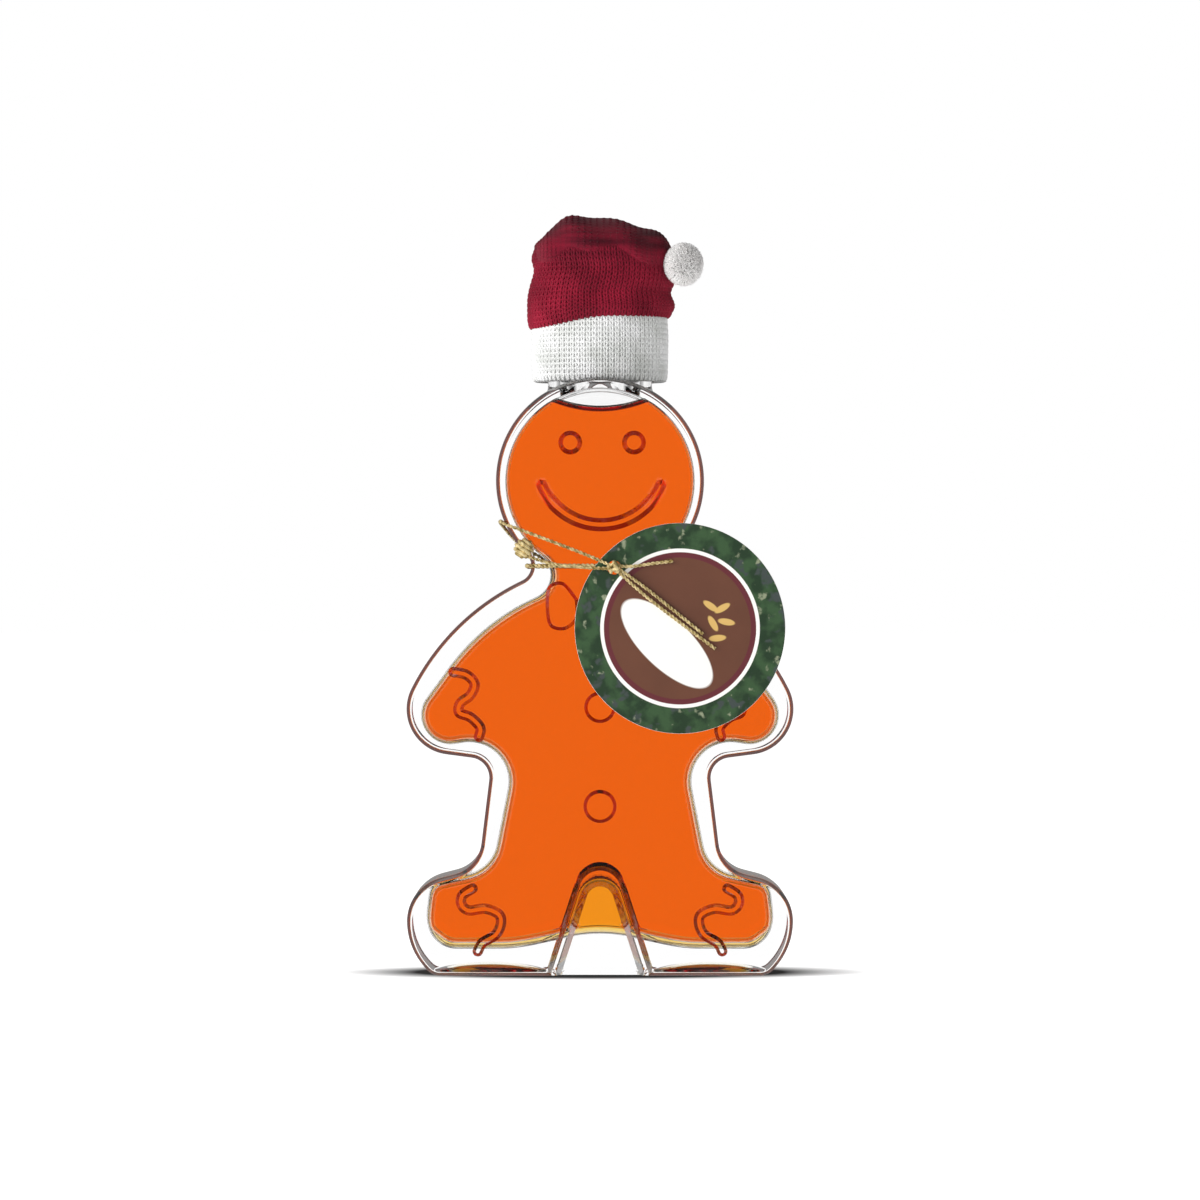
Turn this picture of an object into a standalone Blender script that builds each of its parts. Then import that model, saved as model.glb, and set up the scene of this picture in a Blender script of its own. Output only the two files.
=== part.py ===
"""A gingerbread man bottle of maple syrup in a knitted winter hat, with a tag on a gold cord.

The bottle stands on z = 0 at the origin and its face looks towards -Y. Sizes are in
millimetres and MM turns them into Blender's metres.
"""

import math

import bmesh
import bpy
import numpy as np
from mathutils import Matrix, Vector

MM = 0.001
GAP = 0.3  # between pieces that rest on each other

# The glass figure seen from the front: circles that its outline runs round, as x, z, radius.
HEAD = (0.0, 122.5, 25.75)
ARM = (36.6, 66.0, 11.3)
FOOT_TOP = (36.75, 13.5, 11.05)
FOOT_SIDE = (30.65, 13.5, 17.15)
SHOULDER_CENTRE = (-6.0, 44.5)
THROAT_R = 4.0  # hollow corner between head and shoulder
ARMPIT = (32.4, 49.0, 5.0)
ANKLE = (38.3, 33.8, 9.0)
ARC_STEP = math.radians(10)

# Its depth: the sides are a little crowned, with round edges to a flat front and back.
HALF_DEPTH = 23.0
RIM = 3.2  # how far the rounded edge runs in from the outline
RIM_POWER = 2.6
RIM_STEPS = 4
BASE_Z = 0.0

# The hollow inside.
HEAD_WALL = 2.3
SIDE_WALL = 5.0
FACE_WALL = 4.2
HOLLOW_RIM = 2.4
HOLLOW_THROAT_R = 6.0
HOLLOW_FLOOR_Z = 6.0
SYRUP_LEVEL_Z = 141.5
LEVEL_CUTTER = 60.0  # side of the cube that takes off everything above the level

# Round neck, bore and mouth, which the hat covers.
NECK_R = 13.0
BORE_R = 10.0
NECK_FLARE_R = 3.0
MOUTH_Z = 163.0
LIP_ROUND = 0.8
NECK_ROOT_Z = 138.0  # the neck's solid starts this low in the head, and the bore lower
BORE_ROOT_Z = 134.0
NECK_SEGMENTS = 32

# The tapered recess between the legs, front and back.
RECESS_DEPTH = 8.0
RECESS_FACE = (6.35, 27.25)  # radius of the round top, and its height
RECESS_FLOOR = (4.95, 23.4)
RECESS_SPREAD = math.radians(18)  # how far its sides lean out below the round top
RECESS_ROOF_STEPS = 8
RECESS_PLUG_Z = -4.0  # the cutting plug runs below the base and out past the face
RECESS_PLUG_OUT = 3.0
HOLLOW_RECESS_GROW = 2.0

# Raised lines and spots on the front.
SPOT_SINK = 0.2  # the domes' middles lie this deep in the glass
EYE = (7.75, 131.75, 3.0, 1.3)  # x, z, radius, height
BUTTONS = ((0.0, 66.5, 3.9, 1.5), (0.0, 42.0, 4.1, 1.5))
BOW_KNOT = (0.0, 90.5, 3.2, 1.1)
SMILE = (0.25, 127.5, 16.0, 20.0, 1.25)  # centre x, z, radius, first angle, half width
WAVE_R = 0.9
BOW_WING = ((5.4, 93.2), (9.0, 97.4), (12.8, 96.4), (13.4, 91.0), (12.4, 86.4), (8.6, 85.6), (5.4, 88.4))
BOW_HEIGHT = 0.9
BOW_KNOT_LIFT = 0.6
SMILE_TIP = 0.6  # the smile's width at its ends, as a share
WRIST_WAVE = ((36.2, 75.2), (33.0, 74.5), (31.0, 72.3), (32.0, 69.5), (34.5, 67.5), (34.8, 65.2))
WRIST_WAVE += ((32.0, 64.0), (29.6, 61.5), (30.0, 58.3))
ANKLE_WAVE = ((31.5, 21.7), (34.0, 20.0), (34.2, 17.8), (32.4, 16.3), (28.3, 16.7), (25.0, 15.3))
ANKLE_WAVE += ((24.5, 13.0), (25.8, 10.3), (29.0, 8.3), (30.2, 6.2))

# Knitted hat.
CUFF_BOTTOM_Z = 148.2
CUFF_TOP_Z = 163.2
CUFF_R = 17.0
CUFF_FOOT_R = 16.4
CUFF_ROUND = 1.6
CUFF_SLACK = 0.05
HAT_SEGMENTS = 36
# Crown sections from the bottom up: z, left edge, right edge, half depth.
CROWN = (
    (163.5, -16.4, 16.8, 16.4),
    (165.3, -18.2, 18.2, 17.6),
    (169.0, -18.3, 17.9, 17.5),
    (172.6, -17.6, 18.0, 17.0),
    (175.6, -16.8, 18.3, 16.4),
    (178.6, -17.3, 18.2, 16.0),
    (182.0, -15.6, 17.8, 14.8),
    (184.6, -14.4, 16.0, 13.0),
    (186.8, -12.9, 11.4, 10.4),
    (188.4, -11.0, 3.8, 7.2),
    (189.2, -7.6, -1.4, 3.6),
)
POMPOM = (21.1, -9.7, 176.5)
POMPOM_R = (4.7, 4.7, 5.2)

# Card tag and the gold cord that ties it on.
TAG_CENTRE = (19.75, 86.0)
TAG_R = 26.0
TAG_BACK_Y = -25.0
TAG_THICK = 0.8
TAG_HOLE = (3.5, 101.0, 1.7)
TAG_SEGMENTS = 48
TAG_HOLE_SEGMENTS = 16
CORD_R = 0.45
CORD_LOOP_R = 0.6
CORD_OFF = 0.45  # between the loop and the glass
LOOP_FLAT = (0.8, 0.0, -0.8)  # points that keep the loop straight along the flat front and back
CORD_BEHIND_TAG_Y = -23.9
BEAD = (-18.9, -24.6, 105.4, 2.7)
KNOT = (3.5, -27.6, 101.0, 1.5)
STRAND_HIGH = ((-12.0, 24.5, 102.2), (-20.8, 22.6, 107.5), (-26.2, 8.0, 112.0), (-26.4, -8.0, 113.2))
STRAND_HIGH += ((-23.8, -22.6, 111.6), (-14.6, -25.0, 108.4), (-4.0, -26.3, 104.4), (3.0, -27.0, 101.4))
STRAND_LOW = ((-18.0, -23.8, 103.8), (-11.0, -25.2, 101.8), (-3.0, -26.6, 101.0), (3.0, -27.0, 100.7))
TAILS = (
    ((3.8, -27.2, 101.2), (10.0, -26.7, 96.9), (17.0, -26.5, 91.4), (25.4, -26.5, 84.6)),
    ((3.8, -27.2, 100.6), (11.0, -26.7, 94.2), (19.0, -26.5, 88.0), (28.4, -26.5, 81.0)),
    ((3.8, -27.2, 101.4), (8.0, -26.7, 101.3), (13.0, -26.5, 102.0), (18.0, -26.5, 102.6)),
)


def clear_scene():
    for old in list(bpy.data.objects):
        bpy.data.objects.remove(old, do_unlink=True)


def make_material(name, colour, roughness, metallic=0.0, transmission=0.0):
    material = bpy.data.materials.new(name)
    material.use_nodes = True
    shader = material.node_tree.nodes["Principled BSDF"]
    shader.inputs["Base Color"].default_value = (*colour, 1.0)
    shader.inputs["Roughness"].default_value = roughness
    shader.inputs["Metallic"].default_value = metallic
    shader.inputs["Transmission Weight"].default_value = transmission
    return material


def mesh_object(name, bm, material, smooth_angle=30.0):
    """Turns a bmesh into a named object with its faces pointing out."""
    bmesh.ops.remove_doubles(bm, verts=bm.verts, dist=1e-6)
    bmesh.ops.recalc_face_normals(bm, faces=bm.faces)
    mesh = bpy.data.meshes.new(name)
    bm.to_mesh(mesh)
    bm.free()
    mesh.shade_smooth()
    mesh.set_sharp_from_angle(angle=math.radians(smooth_angle))
    made = bpy.data.objects.new(name, mesh)
    bpy.context.scene.collection.objects.link(made)
    if material:
        made.data.materials.append(material)
    return made


def combine(target, tool, operation):
    """Applies one Boolean to target and removes the tool."""
    cut = target.modifiers.new(operation.lower(), "BOOLEAN")
    cut.operation = operation
    cut.solver = "EXACT"
    cut.object = tool
    bpy.context.view_layer.update()
    evaluated = target.evaluated_get(bpy.context.evaluated_depsgraph_get())
    result = bpy.data.meshes.new_from_object(evaluated)
    result.shade_smooth()
    result.set_sharp_from_angle(angle=math.radians(30))
    target.modifiers.clear()
    target.data = result
    bpy.data.objects.remove(tool, do_unlink=True)


def touching(first, second, radius):
    """Centre of the hollow circle on the right that touches two round ones from outside."""
    (x0, z0, r0), (x1, z1, r1) = first, second
    a, b = r0 + radius, r1 + radius
    dx, dz = x1 - x0, z1 - z0
    d = math.hypot(dx, dz)
    along = (a * a - b * b + d * d) / (2 * d)
    off = math.sqrt(a * a - along * along)
    choices = []
    for side in (-1, 1):
        x = x0 + (along * dx - side * off * dz) / d
        z = z0 + (along * dz + side * off * dx) / d
        choices.append((x, z))
    return max(choices)


def figure_circles(head_wall, side_wall, throat_r):
    """The circles of the right half from the head down; a hollow corner has a minus radius."""
    head = (HEAD[0], HEAD[1], HEAD[2] - head_wall)
    arm = (ARM[0], ARM[1], ARM[2] - side_wall)
    reach = math.hypot(ARM[0] - SHOULDER_CENTRE[0], ARM[1] - SHOULDER_CENTRE[1])
    shoulder = (*SHOULDER_CENTRE, reach + arm[2])
    throat = (*touching(head, shoulder, throat_r), -throat_r)
    armpit = (ARMPIT[0], ARMPIT[1], -(ARMPIT[2] + side_wall))
    ankle = (ANKLE[0], ANKLE[1], -(ANKLE[2] + side_wall))
    foot_top = (FOOT_TOP[0], FOOT_TOP[1], FOOT_TOP[2] - side_wall)
    foot_side = (FOOT_SIDE[0], FOOT_SIDE[1], FOOT_SIDE[2] - side_wall)
    return [head, throat, shoulder, arm, armpit, ankle, foot_top, foot_side]


def outline(circles, inset=0.0):
    """The closed outline round the circles, drawn in by inset, as (x, z) points."""
    turns = [math.pi / 2]
    for (x0, z0, r0), (x1, z1, r1) in zip(circles, circles[1:]):
        dx, dz = x1 - x0, z1 - z0
        d = math.hypot(dx, dz)
        lean = max(-1.0, min(1.0, (r0 - r1) / d))
        side = math.sqrt(1 - lean * lean)
        turns.append(math.atan2(lean * dz / d + side * dx / d, lean * dx / d - side * dz / d))
    turns.append(-math.pi / 2)
    half = []
    for (x, z, r), start, end in zip(circles, turns, turns[1:]):
        steps = max(1, round(abs(end - start) / ARC_STEP))
        for k in range(steps + 1):
            angle = start + (end - start) * k / steps
            half.append((x + (r - inset) * math.cos(angle), z + (r - inset) * math.sin(angle)))
    return half + [(-x, z) for x, z in reversed(half[1:])]


def rim_profile(rim, half_depth, steps):
    """Inset and depth along the rounded edge, from the flat front to the flat back."""
    quarter = []
    for k in range(steps + 1):
        turn = math.pi / 2 * k / steps
        across = math.cos(turn) ** (2 / RIM_POWER)
        deep = math.sin(turn) ** (2 / RIM_POWER)
        quarter.append((rim * (1 - across), half_depth * deep))
    front = [(inset, -deep) for inset, deep in reversed(quarter)]
    return front + [(inset, deep) for inset, deep in quarter[1:]]


def loft(name, rings, material=None, smooth_angle=30.0):
    """A closed solid through rings of points, flat at both ends."""
    bm = bmesh.new()
    rows = [[bm.verts.new(Vector(place) * MM) for place in ring] for ring in rings]
    count = len(rows[0])
    for near, far in zip(rows, rows[1:]):
        for k in range(count):
            bm.faces.new((near[k], near[(k + 1) % count], far[(k + 1) % count], far[k]))
    bm.faces.new(rows[0])
    bm.faces.new(rows[-1])
    return mesh_object(name, bm, material, smooth_angle)


def pillow(name, circles, rim, half_depth, lowest, steps):
    """A closed slab of the figure's outline with rounded edges and a flat underside."""
    rings = []
    for inset, depth in rim_profile(rim, half_depth, steps):
        rings.append([(x, depth, max(z, lowest)) for x, z in outline(circles, inset)])
    return loft(name, rings)


def lathe(name, profile, segments, material=None):
    """Turns a closed (radius, z) profile about the Z axis."""
    bm = bmesh.new()
    corners = [bm.verts.new((r * MM, 0.0, z * MM)) for r, z in profile]
    edges = [bm.edges.new((a, b)) for a, b in zip(corners, corners[1:])]
    if profile[0][0] > 0:
        edges.append(bm.edges.new((corners[-1], corners[0])))
    bmesh.ops.spin(
        bm, geom=corners + edges, cent=(0, 0, 0), axis=(0, 0, 1), angle=2 * math.pi, steps=segments
    )
    return mesh_object(name, bm, material)


def face_depth(x, z):
    """How far the front of the glass stands from the middle plane at (x, z)."""
    line = np.array(outline(FIGURE))
    ahead = np.roll(line, -1, axis=0)
    run = ahead - line
    to = np.array((x, z)) - line
    share = np.clip((to * run).sum(1) / np.maximum((run * run).sum(1), 1e-9), 0, 1)
    inset = np.linalg.norm(to - run * share[:, None], axis=1).min()
    across = 1 - min(inset / RIM, 1.0)
    return HALF_DEPTH * (1 - across**RIM_POWER) ** (1 / RIM_POWER)


def tube(name, points, radius, sides=1, resolution=2, tips=None):
    """A round cord through points: a bevelled Bezier curve with filled ends, made a mesh."""
    curve = bpy.data.curves.new(name, "CURVE")
    curve.dimensions = "3D"
    curve.resolution_u = resolution
    curve.bevel_depth = radius * MM
    curve.bevel_resolution = sides
    curve.use_fill_caps = True
    spline = curve.splines.new("BEZIER")
    spline.bezier_points.add(len(points) - 1)
    for k, (point, place) in enumerate(zip(spline.bezier_points, points)):
        point.co = Vector(place) * MM
        point.handle_left_type = "AUTO"
        point.handle_right_type = "AUTO"
        if tips and k in (0, len(points) - 1):
            point.radius = tips
    holder = bpy.data.objects.new(name, curve)
    bpy.context.scene.collection.objects.link(holder)
    bpy.context.view_layer.update()
    mesh = bpy.data.meshes.new_from_object(holder.evaluated_get(bpy.context.evaluated_depsgraph_get()))
    bpy.data.objects.remove(holder, do_unlink=True)
    bm = bmesh.new()
    bm.from_mesh(mesh)
    return mesh_object(name, bm, None)


def ball(name, centre, radii, segments=14, rings=8, material=None):
    bm = bmesh.new()
    bmesh.ops.create_uvsphere(bm, u_segments=segments, v_segments=rings, radius=1.0)
    bmesh.ops.scale(bm, vec=Vector(radii) * MM, verts=bm.verts)
    bmesh.ops.translate(bm, vec=Vector(centre) * MM, verts=bm.verts)
    return mesh_object(name, bm, material)


def spot(name, x, z, radius, height, lift=0.0):
    """A low dome that stands on the front of the glass."""
    y = SPOT_SINK - face_depth(x, z) - lift
    return ball(name, (x, y, z), (radius, height, radius), rings=6)


def on_front(points, mirror):
    return [(mirror * x, -face_depth(x, z), z) for x, z in points]


def bow_wing(name, mirror):
    """One wing of the bow tie, a low plate with a rounded outline."""
    bm = bmesh.new()
    front = -HALF_DEPTH - BOW_HEIGHT
    ring = [bm.verts.new((mirror * x * MM, front * MM, z * MM)) for x, z in BOW_WING]
    face = bm.faces.new(ring)
    made = bmesh.ops.extrude_face_region(bm, geom=[face])
    moved = [v for v in made["geom"] if isinstance(v, bmesh.types.BMVert)]
    bmesh.ops.translate(bm, vec=(0, 2 * BOW_HEIGHT * MM, 0), verts=moved)
    return mesh_object(name, bm, None)


def recess_outline(radius, top):
    """The arch between the legs: a round top on straight sides that spread to the base."""
    centre_z = top - radius
    drop = centre_z - RECESS_PLUG_Z
    base_x = (radius + drop * math.sin(RECESS_SPREAD)) / math.cos(RECESS_SPREAD)
    points = [(base_x, RECESS_PLUG_Z)]
    for k in range(RECESS_ROOF_STEPS + 1):
        angle = RECESS_SPREAD + (math.pi - 2 * RECESS_SPREAD) * k / RECESS_ROOF_STEPS
        points.append((radius * math.cos(angle), centre_z + radius * math.sin(angle)))
    return points + [(-base_x, RECESS_PLUG_Z)]


def recess_cutter(name, side, face_y, grow):
    """A tapered plug that takes the recess out of the front (side -1) or back (side 1)."""
    out = RECESS_PLUG_OUT
    wide, narrow = [], []
    for at_face, at_floor in zip(RECESS_FACE, RECESS_FLOOR):
        wide.append(at_face + grow + out * (at_face - at_floor) / RECESS_DEPTH)
        narrow.append(at_floor + grow)
    rings = []
    for sizes, y in ((wide, face_y + out), (narrow, face_y - RECESS_DEPTH)):
        rings.append([(x, side * y, z) for x, z in recess_outline(*sizes)])
    return loft(name, rings)


def hollow(name, shrink):
    """The shape of the space inside the glass, made smaller all round by shrink."""
    circles = figure_circles(HEAD_WALL + shrink, SIDE_WALL + shrink, HOLLOW_THROAT_R)
    depth = HALF_DEPTH - FACE_WALL - shrink
    space = pillow(name, circles, HOLLOW_RIM, depth, HOLLOW_FLOOR_Z + shrink, RIM_STEPS - 1)
    for side in (-1, 1):
        plug = recess_cutter("hollow_recess", side, depth, HOLLOW_RECESS_GROW + shrink)
        combine(space, plug, "DIFFERENCE")
    bore_top = MOUTH_Z + 2.0
    bore_r = BORE_R - shrink
    profile = [(0.0, bore_top), (bore_r, bore_top), (bore_r, BORE_ROOT_Z), (0.0, BORE_ROOT_Z)]
    combine(space, lathe("bore", profile, NECK_SEGMENTS), "UNION")
    return space


def make_bottle(material):
    bottle = pillow("bottle", FIGURE, RIM, HALF_DEPTH, BASE_Z, RIM_STEPS)
    for side in (-1, 1):
        combine(bottle, recess_cutter("leg_recess", side, HALF_DEPTH, 0.0), "DIFFERENCE")
    combine(bottle, lathe("neck", neck_profile(), NECK_SEGMENTS), "UNION")
    for piece in raised_work():
        combine(bottle, piece, "UNION")
    combine(bottle, hollow("hollow", 0.0), "DIFFERENCE")
    bottle.data.materials.clear()
    bottle.data.materials.append(material)
    return bottle


def neck_profile():
    """Outer side of the neck: a small lip, a straight run and a flare onto the head."""
    corner = NECK_R + NECK_FLARE_R
    height = math.sqrt((HEAD[2] + NECK_FLARE_R) ** 2 - corner**2)
    flare_z = HEAD[1] + height
    end = math.pi + math.atan2(height, corner)
    points = [(0.0, MOUTH_Z), (NECK_R - LIP_ROUND, MOUTH_Z), (NECK_R, MOUTH_Z - LIP_ROUND)]
    for k in range(5):
        angle = math.pi + (end - math.pi) * k / 4
        points.append((corner + NECK_FLARE_R * math.cos(angle), flare_z + NECK_FLARE_R * math.sin(angle)))
    return points + [(BORE_R, NECK_ROOT_Z), (0.0, NECK_ROOT_Z)]


def raised_work():
    """Everything that stands proud of the front of the glass."""
    pieces = []
    for mirror in (-1, 1):
        pieces.append(spot("eye", mirror * EYE[0], *EYE[1:]))
        pieces.append(bow_wing("bow_wing", mirror))
        pieces.append(tube("wrist_wave", on_front(WRIST_WAVE, mirror), WAVE_R))
        pieces.append(tube("ankle_wave", on_front(ANKLE_WAVE, mirror), WAVE_R))
    for button in BUTTONS:
        pieces.append(spot("button", *button))
    pieces.append(spot("bow_knot", *BOW_KNOT, lift=BOW_KNOT_LIFT))
    x, z, radius, first, half_width = SMILE
    bend = []
    for k in range(9):
        angle = math.radians(180 + first + (180 - 2 * first) * k / 8)
        bend.append((x + radius * math.cos(angle), -HALF_DEPTH, z + radius * math.sin(angle)))
    pieces.append(tube("smile", bend, half_width, sides=2, resolution=3, tips=SMILE_TIP))
    return pieces


def make_syrup(material):
    syrup = hollow("syrup", GAP)
    bm = bmesh.new()
    bmesh.ops.create_cube(bm, size=LEVEL_CUTTER * MM)
    bmesh.ops.translate(bm, vec=Vector((0, 0, SYRUP_LEVEL_Z + LEVEL_CUTTER / 2)) * MM, verts=bm.verts)
    combine(syrup, mesh_object("above_level", bm, None), "DIFFERENCE")
    syrup.data.materials.clear()
    syrup.data.materials.append(material)
    return syrup


def make_cuff(material):
    inner = NECK_R + GAP + CUFF_SLACK
    profile = [(inner, CUFF_TOP_Z), (CUFF_R - LIP_ROUND, CUFF_TOP_Z), (CUFF_R, CUFF_TOP_Z - LIP_ROUND)]
    for k in range(4):
        turn = math.pi / 2 * k / 3
        r = CUFF_FOOT_R - CUFF_ROUND * (1 - math.cos(turn))
        profile.append((r, CUFF_BOTTOM_Z + CUFF_ROUND * (1 - math.sin(turn))))
    profile.append((inner, CUFF_BOTTOM_Z))
    return lathe("hat_cuff", profile, HAT_SEGMENTS, material)


def make_crown(material):
    """The red part of the hat: rings that lean left as they rise and round over at the top."""
    rings = []
    for z, left, right, half_depth in CROWN:
        middle = (left + right) / 2
        half_width = (right - left) / 2
        turns = [2 * math.pi * k / HAT_SEGMENTS for k in range(HAT_SEGMENTS)]
        rings.append([(middle + half_width * math.cos(a), half_depth * math.sin(a), z) for a in turns])
    return loft("hat_crown", rings, material, smooth_angle=40.0)


def disc(name, centre, radius, thick, segments, material=None):
    """A flat round plate that faces the front."""
    bm = bmesh.new()
    placed = Matrix.Translation(Vector(centre) * MM) @ Matrix.Rotation(math.pi / 2, 4, "X")
    sizes = {"radius1": radius * MM, "radius2": radius * MM, "depth": thick * MM}
    bmesh.ops.create_cone(bm, cap_ends=True, segments=segments, matrix=placed, **sizes)
    return mesh_object(name, bm, material)


def make_tag(material):
    x, z = TAG_CENTRE
    middle_y = TAG_BACK_Y - TAG_THICK / 2
    tag = disc("hang_tag", (x, middle_y, z), TAG_R, TAG_THICK, TAG_SEGMENTS, material)
    x, z, radius = TAG_HOLE
    combine(tag, disc("tag_hole", (x, middle_y, z), radius, 2 * TAG_THICK, TAG_HOLE_SEGMENTS), "DIFFERENCE")
    return tag


def neck_loop_points():
    """Once round the throat at its narrowest, a hair off the glass."""
    off = CORD_LOOP_R + CORD_OFF
    x, z, _ = FIGURE[1]
    narrow = x - THROAT_R + off
    right = []
    for inset, depth in rim_profile(RIM, HALF_DEPTH, RIM_STEPS):
        right.append((narrow - inset, depth * (1 + off / HALF_DEPTH), z))
    flat_x, flat_y, _ = right[-1]
    back = [(flat_x * share, flat_y, z) for share in LOOP_FLAT]
    front = [(-x, -y, z) for x, y, z in back]
    return right + back + [(-x, y, z) for x, y, z in reversed(right)] + front


def make_cord(material):
    """The whole tied cord is one piece: loop, bead, knot, strands and tails."""
    loop = neck_loop_points()
    cord = tube("gold_cord", loop + loop[:1], CORD_LOOP_R)
    combine(cord, ball("bead", BEAD[:3], (BEAD[3],) * 3), "UNION")
    through = ((TAG_HOLE[0], CORD_BEHIND_TAG_Y, FIGURE[1][1]), (TAG_HOLE[0], KNOT[1], TAG_HOLE[1]))
    combine(cord, tube("through_tag", through, CORD_LOOP_R), "UNION")
    combine(cord, ball("knot", KNOT[:3], (KNOT[3],) * 3), "UNION")
    for points in (STRAND_HIGH, STRAND_LOW, *TAILS):
        combine(cord, tube("strand", points, CORD_R), "UNION")
    cord.data.materials.clear()
    cord.data.materials.append(material)
    return cord


FIGURE = figure_circles(0.0, 0.0, THROAT_R)


def main():
    clear_scene()
    make_bottle(make_material("clear_glass", (0.95, 0.97, 0.96), 0.03, transmission=1.0))
    make_syrup(make_material("amber_syrup", (0.84, 0.12, 0.01), 0.05, transmission=1.0))
    white_knit = make_material("white_knit", (0.82, 0.82, 0.84), 0.9)
    make_crown(make_material("red_knit", (0.26, 0.01, 0.03), 0.9))
    make_cuff(white_knit)
    ball("hat_pompom", POMPOM, POMPOM_R, 20, 12, white_knit)
    make_tag(make_material("printed_card", (0.03, 0.09, 0.05), 0.5))
    make_cord(make_material("gold_cord", (0.55, 0.42, 0.14), 0.35, metallic=1.0))


main()
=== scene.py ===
# %% [markdown]
# A gingerbread figure of clear glass, full of maple syrup, with a knitted winter hat over its
# mouth and a round card tag on a gold cord. Glass and syrup get their look from light that
# bends and is swallowed on its way through, so both are modelled as true closed solids, and
# painted shade deepens their dark edges. The hat, the tag and the cord are modelled down to stitch, print and thread.

# %% Load the fixed frame
import math

import bmesh
import bpy
import numpy as np
from mathutils import Matrix, Vector
from mathutils.geometry import delaunay_2d_cdt
from mathutils.kdtree import KDTree


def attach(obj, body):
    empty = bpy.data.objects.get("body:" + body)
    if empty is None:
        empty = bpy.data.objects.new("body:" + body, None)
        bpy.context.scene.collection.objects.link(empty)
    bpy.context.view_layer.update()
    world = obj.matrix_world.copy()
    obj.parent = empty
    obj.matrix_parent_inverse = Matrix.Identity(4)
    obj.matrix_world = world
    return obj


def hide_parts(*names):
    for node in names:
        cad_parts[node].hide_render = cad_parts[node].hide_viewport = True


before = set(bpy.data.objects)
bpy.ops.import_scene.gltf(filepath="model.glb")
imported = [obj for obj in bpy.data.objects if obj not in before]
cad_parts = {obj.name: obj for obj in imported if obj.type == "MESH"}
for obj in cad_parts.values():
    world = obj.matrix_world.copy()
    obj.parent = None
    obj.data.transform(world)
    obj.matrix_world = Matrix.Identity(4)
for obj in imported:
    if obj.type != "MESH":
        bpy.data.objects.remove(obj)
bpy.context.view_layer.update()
MM = 0.001
print("frame nodes:", sorted(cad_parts))

# %% [markdown]
# A long lens from two metres away flattens the view, as product photographs of bottles do.
# The camera is level with the middle of the bottle, and the picture is 300 mm wide there.

# %% Camera
PICTURE_WIDTH = 0.300
VIEW_HEIGHT = 0.093
CAMERA_AWAY = 2.0


def make_camera():
    camera = bpy.data.objects.new("camera", bpy.data.cameras.new("camera"))
    camera.data.lens = camera.data.sensor_width * CAMERA_AWAY / PICTURE_WIDTH
    camera.location = (0.0, -CAMERA_AWAY, VIEW_HEIGHT)
    camera.rotation_euler = (math.pi / 2, 0.0, 0.0)
    bpy.context.scene.collection.objects.link(camera)
    bpy.context.scene.camera = camera
    return camera


camera = make_camera()
print("lens", round(camera.data.lens), "mm")

# %% [markdown]
# Clear glass is lit from behind. A bright backdrop shines straight through it, and darkness at
# the sides bends into its edges and draws them as thin dark lines. The sky here is that set:
# white behind the bottle, dim behind the camera, and dark in two upright bands at the sides.
# Soft lamps that glass doesn't mirror light the wool, the card and the cord.

# %% Sky, floor and lamps
SKY_BACK = 1.08
SKY_DARK = 0.3
SKY_DIFFUSE = 0.11
# Brightness of the sky by the cosine of the angle from straight behind: a dark ring about 60
# degrees off, with a soft inner edge.
RING = ((0.0, 1.0), (0.2, 1.0), (0.26, 0.2), (0.5, 0.2), (0.66, 0.5), (0.8, 1.08))
# What surfaces mirror: a dim room with a soft light overhead, by the height over the horizon.
SOFTBOX = ((0.0, 0.3), (0.45, 0.3), (0.55, 0.8), (0.75, 0.8), (0.85, 0.3))
# A dark card straight in front, so that the flat faces mirror no haze over the syrup.
CARD = (-0.997, -0.992)
CARD_GREY = 0.11
SKY_FRONT = 0.75
CEILING = (0.36, 0.8)  # the dark band above, as sines of the height over the horizon
BELOW = (-0.92, -0.55)  # the dark band below
PAINTED_SHADOW_HALVES = (0.050, 0.032)  # half width and half depth of the painted contact shadow, a dark patch under the bottle
PAINTED_SHADOW_END = 1.4  # where the painted shadow has faded out, in those halves
FLOOR_GREY = 0.85


def ramp(tree, value, stops):
    """A colour ramp over a 0 to 1 value, with grey stops given as (place, grey)."""
    node = tree.nodes.new("ShaderNodeValToRGB")
    node.color_ramp.interpolation = "LINEAR"
    elements = node.color_ramp.elements
    while len(elements) < len(stops):
        elements.new(0.5)
    for element, (place, grey) in zip(elements, stops):
        element.position = place
        element.color = (grey, grey, grey, 1.0)
    tree.links.new(value, node.inputs["Fac"])
    return node.outputs["Color"]


def map_range(tree, value, low, high, out_low=0.0, out_high=1.0):
    node = tree.nodes.new("ShaderNodeMapRange")
    node.inputs["From Min"].default_value = low
    node.inputs["From Max"].default_value = high
    node.inputs["To Min"].default_value = out_low
    node.inputs["To Max"].default_value = out_high
    tree.links.new(value, node.inputs["Value"])
    return node.outputs[0]


def mix_colour(tree, share, first, second, blend="MIX"):
    """Blends two colours; each is a socket or an (r, g, b) value."""
    node = tree.nodes.new("ShaderNodeMix")
    node.data_type = "RGBA"
    node.blend_type = blend
    for socket, value in ((node.inputs["Factor"], share), (node.inputs[6], first), (node.inputs[7], second)):
        if isinstance(value, bpy.types.NodeSocket):
            tree.links.new(value, socket)
        elif isinstance(value, tuple):
            socket.default_value = (*value, 1.0)
        else:
            socket.default_value = value
    return node.outputs["Result"]


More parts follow.
